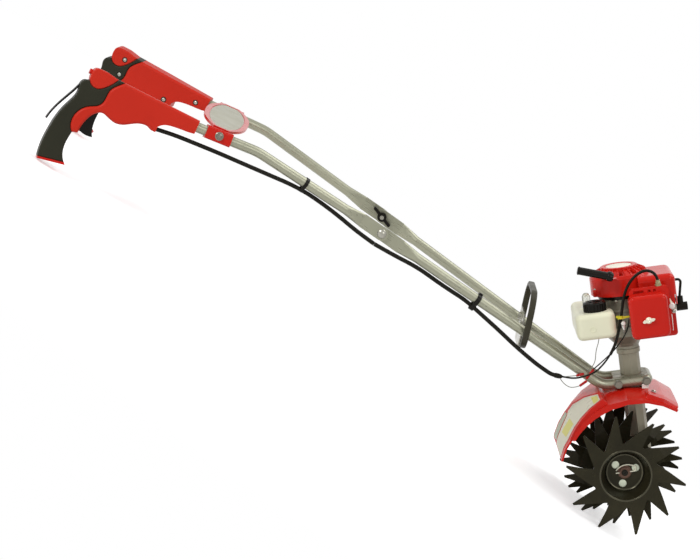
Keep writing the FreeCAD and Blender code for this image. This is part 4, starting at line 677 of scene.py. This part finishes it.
def add_fender_labels():
    """Blank main label with two plain yellow fields, and the pale strip along the crest of the tail."""
    sticker("fender_label", [(108, 0.10, 0.78), (112, 0.10, 0.86), (117, 0.10, 0.88), (126, 0.10, 0.90),
                             (131, 0.10, 0.88), (134, 0.10, 0.76), (141, 0.10, 0.70), (142.5, 0.10, 0.70),
                             (150, 0.09, 0.68), (153.5, 0.09, 0.66), (157.5, 0.09, 0.16)], "label_white")
    sticker("fender_label_head", [(109, 0.16, 0.66), (113, 0.14, 0.74)], "label_yellow", 0.6, 0.2)
    sticker("fender_label_foot", [(133, 0.22, 0.56), (134, 0.22, 0.56), (141, 0.24, 0.58), (142.5, 0.24, 0.58),
                                  (144, 0.26, 0.58)], "label_yellow", 0.6, 0.2)
    sticker("fender_label_strip", [(133, 0.84, 0.96), (134, 0.80, 0.96), (141, 0.75, 0.96), (142.5, 0.75, 0.96),
                                   (150, 0.73, 0.96), (151.5, 0.73, 0.94)], "label_green")


add_fender_labels()


# --- engine ------------------------------------------------------------------------------

STARTER_TOP = 386
STARTER_FOOT = 337
SLOTS, RIB_OFF = 12, 8.5              # degrees from the middle of a slot to a rib beside it
RIB = 1.8
BELL_TURN = math.degrees(0.3)         # of the lower ring of bolts against the upper
PULL = Vector((-13.5, -72, 389))      # the pull handle of the starter, resting


def add_badge():
    """Blank badge in its ring on the starter."""
    badge = bmesh.new()
    turned(badge, (CRANK_X, 0, STARTER_TOP), UP, [(24.5, -0.4), (24.5, 0.3), (24.1, 0.5), (0, 0.5)], 64)
    piece("starter_badge", badge, "machine", "badge_white")
    ring = bmesh.new()
    turned(ring, (CRANK_X, 0, STARTER_TOP), UP,
           [(26.5, -0.4), (26.5, 0.4), (27, 1), (34, 1), (35, 0.2), (35, -0.4)], 64, closed=True)
    piece("starter_ring", ring, "machine", "red_plastic")


def add_starter_ribs():
    """A rib on each side of every air slot."""
    ribs = bmesh.new()
    for index in range(SLOTS):
        for shift in (-RIB_OFF, RIB_OFF):
            x, y = polar(360 / SLOTS * index + shift, 1)
            out, across = Vector((x, y, 0)), Vector((-y, x, 0))
            centre = Vector((CRANK_X, 0, 0)) - across * RIB / 2
            outline = ((35.5, 381), (35.5, 385), (49, 378.6), (53, 374.4))
            slab(ribs, [centre + out * radius + UP * z for radius, z in outline], across * RIB)
    piece("starter_ribs", ribs, "machine", "red_plastic", 0.4)


def add_starter_lugs():
    """Four lugs with screws round the starter."""
    lugs, screws = bmesh.new(), bmesh.new()
    for angle in (32, 152, 208, 328):
        x, y = polar(angle, 57)
        place = Vector((CRANK_X + x, y, STARTER_FOOT))
        turned(lugs, place, UP, [(5.2, -0.8), (5.6, 0), (5.2, 12), (4.2, 13), (0, 13)], 20)
        screw(screws, place + UP * 13, UP, 3)
    piece("starter_lugs", lugs, "machine", "red_plastic")
    piece("starter_screws", screws, "machine", "bright_steel")


def add_pull_boss():
    """Thick end and end ring of the pull handle."""
    x, z = polar(18, 1)
    way = Vector((x, 0, -z))
    boss = bmesh.new()
    turned(boss, PULL + way * 25, way,
           [(7.3, 0), (8.6, 1), (9.4, 3), (9.6, 6.5), (8.6, 10.5), (6.4, 12.4), (2.4, 12.6), (2, 11), (0, 11)])
    turned(boss, PULL - way * 31, way, [(7.4, 0), (8.1, 0.8), (8.1, 2.2), (7.4, 3)], closed=True)
    piece("pull_boss", boss, "machine", "black_plastic")


def add_crankcase_details():
    """Dark flange with bolts under the starter, seam of the crankcase and bolts of the bell."""
    flange = bmesh.new()
    turned(flange, (CRANK_X, 0, 0), UP,
           [(37, 327), (44.5, 327), (45.5, 328), (45.5, 334), (44.5, 335), (37, 335)], 56, closed=True)
    piece("crankcase_flange", flange, "machine", "dark_steel")
    seam = bmesh.new()
    turned(seam, (CRANK_X, 0, 0), UP,
           [(37, 301), (39.4, 301.4), (39.8, 302.4), (39.8, 304.6), (39.4, 305.6), (37, 306)], 56, closed=True)
    piece("crankcase_seam", seam, "machine", "engine_casting")
    bolts = bmesh.new()
    for angle in range(25, 385, 45):
        for lag, reach, z, radius, high in ((0, 41.8, 327.2, 3.2, 3.4), (BELL_TURN, 40.6, 266.4, 2.6, 3)):
            x, y = polar(angle + lag, reach)
            hexagon(bolts, (CRANK_X + x, y, z), DOWN, radius, high)
    piece("crankcase_bolts", bolts, "machine", "bright_steel")


def add_wing_nut():
    """Wing nut on the face of the air filter."""
    nut = bmesh.new()
    turned(nut, (75.7, -124.6, 296.4), RIGHT, [(6.4, 0), (6.4, 0.8), (5.8, 1.2), (4.6, 1.4), (4.2, 5), (3.4, 6),
                                               (2.2, 6.2), (1.8, 5), (0, 5)])
    centre = Vector((75.7, -127, 296.4))
    wing = ((2.6, -2.8), (8, -3.4), (11.6, -1.6), (12, 0.6), (9.4, 2.4), (2.6, 2.8))
    for turn in (12, 192):
        x, z = polar(turn, 1)
        out, up = Vector((x, 0, z)), Vector((-z, 0, x))
        slab(nut, [centre + out * reach + up * rise for reach, rise in wing], RIGHT * 4.2)
    piece("filter_wing_nut", nut, "machine", "clip_steel", 0.7)


def add_filter_details():
    """Cable adjuster, choke lever with its knob, screw and clip of the air filter."""
    adjuster = bmesh.new()
    turned(adjuster, (103, -92, 363), UP,
           [(2.4, -9), (6.2, -9), (6.2, -6.2), (5, -6), (5, -2), (4, -1.2), (4, 2.4), (2.4, 2.4)],
           24, closed=True)
    piece("cable_adjuster", adjuster, "machine", "brass")
    choke = bmesh.new()
    slab(choke, [(115, -93.5, 333), (119.5, -93.5, 332), (127.5, -93.5, 316), (126.5, -93.5, 310),
                 (120.5, -93.5, 311), (121.5, -93.5, 316)], LEFT * 3)
    piece("choke_lever", choke, "machine", "clip_steel", 0.5)
    knob = bmesh.new()
    turned(knob, (123.8, -90, 313.4), RIGHT,
           [(3.4, 0), (3.4, 4), (5.4, 4.6), (5.9, 6), (5.9, 9), (5, 10), (0, 10.4)])
    piece("choke_knob", knob, "machine", "white_plastic")
    small = bmesh.new()
    screw(small, (127, -89, 302), RIGHT, 3.6)
    turned(small, (127, -78, 302), RIGHT, [(3, 0), (3, 11), (0, 11)])
    piece("filter_screws", small, "machine", "bright_steel")
    clip = bmesh.new()
    slab(clip, [(120.8, -97.4, 266), (122.2, -97.4, 266.6), (122.8, -97.4, 296.6), (121, -97.4, 298)], LEFT * 8)
    piece("filter_clip", clip, "machine", "white_plastic", 0.5)


def add_tank_details():
    """Moulding mark of the tank, raised rim of its cap and base of the priming bulb."""
    mark = bmesh.new()
    turned(mark, (-28.3, -98, 286.9), RIGHT, [(4.2, -0.3), (4.4, 0.7), (5.2, 1), (6, 0.7), (6.2, -0.3)],
           32, closed=True)
    piece("tank_mark", mark, "machine", "tank_plastic")
    rim = bmesh.new()
    turned(rim, (-19, -62, 333), UP, [(14, -0.3), (14.4, 0.9), (15.4, 1.3), (18, 1.3), (19, 0.6), (19.2, -0.3)],
           40, closed=True)
    slab(rim, [(-32, -64, 332.8), (-6, -64, 332.8), (-6, -60, 332.8), (-32, -60, 332.8)], UP * 1.8)
    piece("cap_rim", rim, "machine", "black_plastic", 0.4)
    base = bmesh.new()
    turned(base, (-31, -20, 316), UP, [(7.9, -0.4), (11.4, -0.4), (11.4, 2), (10.4, 3), (8.6, 3.4), (7.9, 3.4)],
           32, closed=True)
    piece("bulb_base", base, "machine", "white_plastic")


def add_muffler_details():
    """Louvred guard with screws over the silencer."""
    face, rear, front = 99.6, 56, 101
    guard = bmesh.new()
    for index in range(6):
        z = 262 + index * 10.4
        slab(guard, [(rear, face, z), (front, face, z),
                     (front, face + 2.6, z + 1.4), (rear, face + 2.6, z + 1.4)], UP * 4.4)
    piece("muffler_guard", guard, "machine", "muffler_steel", 0.6)
    screws = bmesh.new()
    for x, z in ((58, 317), (98, 317), (78, 257)):
        screw(screws, (x, face, z), LEFT, 3.4)
    piece("muffler_screws", screws, "machine", "bright_steel")


# --- leads on the engine -------------------------------------------------------------------

def add_wires():
    """Sleeve over the throttle cable, and thin wires with red connectors."""
    wire("cable_sleeve", [(103, -92, 365), (101, -92, 379), (80, -91, 388), (55, -90, 374), (37, -89, 346),
                          (27, -87, 301), (13, -84, 253), (-1, -81.3, 232)], 2.9, "black_rubber")
    wire("wire_high", [(-101.5, -68.5, 199), (-97, -62, 196.4), (-82, -57, 195.4), (-66, -56, 194.5)],
         0.75, "grey_wire")
    wire("wire_low", [(-101, -69, 198), (-98, -62, 188.5), (-88.6, -57, 176.5), (-77.7, -56, 171.4),
                      (-63, -55, 174)], 0.75, "grey_wire")
    wire("wire_fuel", [(-16.5, -58, 268), (-18, -59, 256), (-26, -60, 240), (-31, -60, 211), (-45, -57, 202)],
         0.8, "grey_wire")
    wire("wire_stop", [(41, -88, 296), (40, -86, 280), (17, -82, 248), (-10.5, -78, 224.3), (-35, -58, 203)],
         1.2, "black_rubber")
    ends = bmesh.new()
    for start, end in (((-69, -56, 194.4), (-53.7, -55, 196)), ((-65, -55, 173.4), (-49.6, -53, 181.3)),
                       ((-50.5, -56, 186), (-34.1, -57, 203))):
        way = Vector(end) - Vector(start)
        long = way.length
        turned(ends, start, way, [(0, 0), (1.6, 0), (2.3, 0.8), (2.5, long * 0.3), (2.1, long * 0.36),
                                  (2.5, long * 0.42), (2.5, long - 1), (1.8, long), (0, long)], 16)
    piece("wire_connectors", ends, "machine", "connector_red")


def add_cable_tie():
    """Yellow tie that holds the cable and a wire together, with its tail and lock."""
    tie = bmesh.new()
    strap(tie, [((27.4, -87.1, 302.4), 3.4), ((20.6, -85.8, 303), 2.2)], (0.08, 0, 1), 3.8, 1.1)
    slab(tie, [(20, -91.6, 299.4), (27, -91.6, 298.8), (42, -91.6, 300.4), (42, -91.6, 304), (27, -91.6, 304),
               (20, -91.6, 304.4)], LEFT * 1.1)
    slab(tie, [(22.6, -94, 299.8), (28.6, -94, 299.4), (28.6, -94, 305.2), (22.6, -94, 305.6)], LEFT * 3.4)
    piece("cable_tie", tie, "machine", "yellow", 0.3)


def add_bleed_valve():
    """Small valve beside the tank with its line, and the ferrule at the end of the cable's sheath."""
    knob = bmesh.new()
    turned(knob, (29.7, -88, 290.5), RIGHT,
           [(1.6, -4), (1.8, 0), (3.4, 0.6), (4.2, 2), (4.2, 3.6), (3.2, 5), (0, 5.6)])
    turned(knob, (29.8, -86, 288), (0, 0.02, -1),
           [(1.4, 0), (1.6, 2), (3, 3), (3.2, 6), (2.2, 7), (1.4, 12), (0, 12.4)])
    piece("bleed_valve", knob, "machine", "white_plastic")
    wire("bleed_line", [(29.8, -86, 277), (30, -84, 270), (34, -70, 268), (38, -50, 276), (40, -36, 280)],
         1.6, "grey_wire")
    ferrule = bmesh.new()
    turned(ferrule, (-106, -69.4, 202.2), (16, 1, -6),
           [(3.9, -4), (4.7, -4), (4.9, 0), (4.7, 5), (3.4, 9), (2.2, 11), (1.6, 11)], 24, closed=True)
    piece("sheath_ferrule", ferrule, "machine", "black_rubber")


add_badge()
add_starter_ribs()
add_starter_lugs()
add_pull_boss()
add_crankcase_details()
add_wing_nut()
add_filter_details()
add_tank_details()
add_muffler_details()
add_wires()
add_cable_tie()
add_bleed_valve()


# --- handles -------------------------------------------------------------------------------

GRIP_FRONT, GRIP_SIDE = Vector((-710, 0, 774.7)), 194
KNEE, KNEE_SIDE = Vector((-605.7, 0, 711.49)), 171
SPLAY, RISE = math.radians(11.8), math.radians(33.5)
TUBE_RADIUS, SHEATH_RADIUS = 9.6, 4.1       # with a little room under a clip
BAR_REACH = 44                        # from the front of a grip to the crossbar's middle
BAR_HIGH = 13                         # middle of the crossbar over the axis of the tubes
PLATE_HALF_LONG, PLATE_HALF_WIDE = 182, 33.5
PLATE_SHORT = 15                      # from the axis of a tube to the end of the plate
ARC_STEPS = 16


def outward(point, side):
    """A point of the middle plane moved out to one side."""
    return point + LEFT * side


def tube_near_grip(side):
    """Where the crossbar's clamp sits on a tube, and the tube's direction there."""
    front = outward(GRIP_FRONT, side * GRIP_SIDE)
    onward = (front - outward(KNEE, side * KNEE_SIDE)).normalized()
    return front - onward * BAR_REACH, onward


def add_grip_screws(side, word):
    """Screws in their cups on the inner face of a grip."""
    level = Vector((-math.cos(SPLAY), side * math.sin(SPLAY), 0))
    along = level * math.cos(RISE) + UP * math.sin(RISE)
    above = UP * math.cos(RISE) - level * math.sin(RISE)
    inward = along.cross(above)
    if inward.y * side > 0:
        inward = -inward
    cups, screws = bmesh.new(), bmesh.new()
    for x, z, deep in ((188, 4, 14), (186, -27, 15), (84, -30, 17), (24, -6, 14.2)):
        place = outward(GRIP_FRONT, side * GRIP_SIDE) + along * x + above * z + inward * (deep - 0.4)
        turned(cups, place, inward, [(3.6, 0.2), (3.8, 1), (5, 1.2), (5.4, 0.8), (5.4, -0.2)], 24, closed=True)
        screw(screws, place + inward * 0.2, inward, 3)
    piece("grip_screw_cups_" + word, cups, "handle", "black_plastic")
    piece("grip_screws_" + word, screws, "handle", "bright_steel")


def add_crossbar_bolt(side, word):
    """Washer, nut and end of the bolt through the crossbar's clamp, on its outer face."""
    place, onward = tube_near_grip(side)
    out = onward.cross(UP).normalized()
    if out.y * side < 0:
        out = -out
    bolt = bmesh.new()
    turned(bolt, place + out * 11.6, out, [(8, 0), (8, 1.2), (7.2, 1.7), (0, 1.7)])
    hexagon(bolt, place + out * 13, out, 5.2, 4, 0.4)
    turned(bolt, place + out * 16.6, out, [(2.8, 0), (2.8, 2), (2.2, 2.6), (0, 2.6)], 18)
    piece("crossbar_bolt_" + word, bolt, "handle", "bolt_steel")


def add_crossbar_plate():
    """Blank oval plate in the crossbar's panel."""
    place, onward = tube_near_grip(-1)
    flat = Vector((onward.x, 0, onward.z)).normalized()
    above = flat.cross(LEFT)
    if above.z < 0:
        above = -above
    centre = Vector((place.x, 0, place.z)) + above * BAR_HIGH
    end = math.asin((-place.y - PLATE_SHORT) / PLATE_HALF_LONG)
    edge = []
    for flip in (1, -1):
        for step in range(ARC_STEPS + 1):
            turn = end * (2 * step / ARC_STEPS - 1)
            edge.append(centre + flat * (flip * PLATE_HALF_WIDE * math.cos(turn))
                        + LEFT * (flip * PLATE_HALF_LONG * math.sin(turn)))
    plate = bmesh.new()
    slab(plate, [point + above * 1.1 for point in edge], above * 0.8)
    piece("crossbar_plate", plate, "handle", "label_grey", 0.25)


def add_low_clip():
    """Black band with a lock that holds the cable's sheath on the lower right tube."""
    mount = named(frame["record"]["mounts"], "handle_tube_right")
    upright = PARKED.inverted()
    on_tube = upright @ Vector(mount["pos_m"]) / MM
    way = (upright.to_3x3() @ Vector(mount["axis"])).normalized()
    cable = Vector((-238, -81.2, 345))
    centre = on_tube + way * ((cable.x - on_tube.x) / way.x)
    clip = bmesh.new()
    strap(clip, [(centre, TUBE_RADIUS), (cable, SHEATH_RADIUS)], way, 9, 1.5, 14)
    hold = cable - centre
    hold = (hold - way * hold.dot(way)).normalized()
    lock, along, across = centre - hold * 10, way * 4, way.cross(hold) * 3
    slab(clip, [lock + along + across, lock - along + across,
                lock - along - across, lock + along - across], -hold * 4)
    piece("cable_clip_low", clip, "machine", "black_plastic", 0.4)


def add_high_clip():
    """Black band that holds the cable's sheath on the upper right tube."""
    tube_start, cable = Vector((-460.6, -127, 578.3)), Vector((-527.5, -144.5, 620.8))
    way = (outward(KNEE, -KNEE_SIDE) - tube_start).normalized()
    centre = tube_start + way * ((cable.x - tube_start.x) / way.x)
    clip = bmesh.new()
    strap(clip, [(centre, TUBE_RADIUS), (cable, SHEATH_RADIUS)], way, 7, 1.4, 14)
    piece("cable_clip_high", clip, "handle", "black_plastic", 0.4)


for side, word in SIDES:
    add_grip_screws(side, word)
    add_crossbar_bolt(side, word)
add_crossbar_plate()
add_low_clip()
add_high_clip()
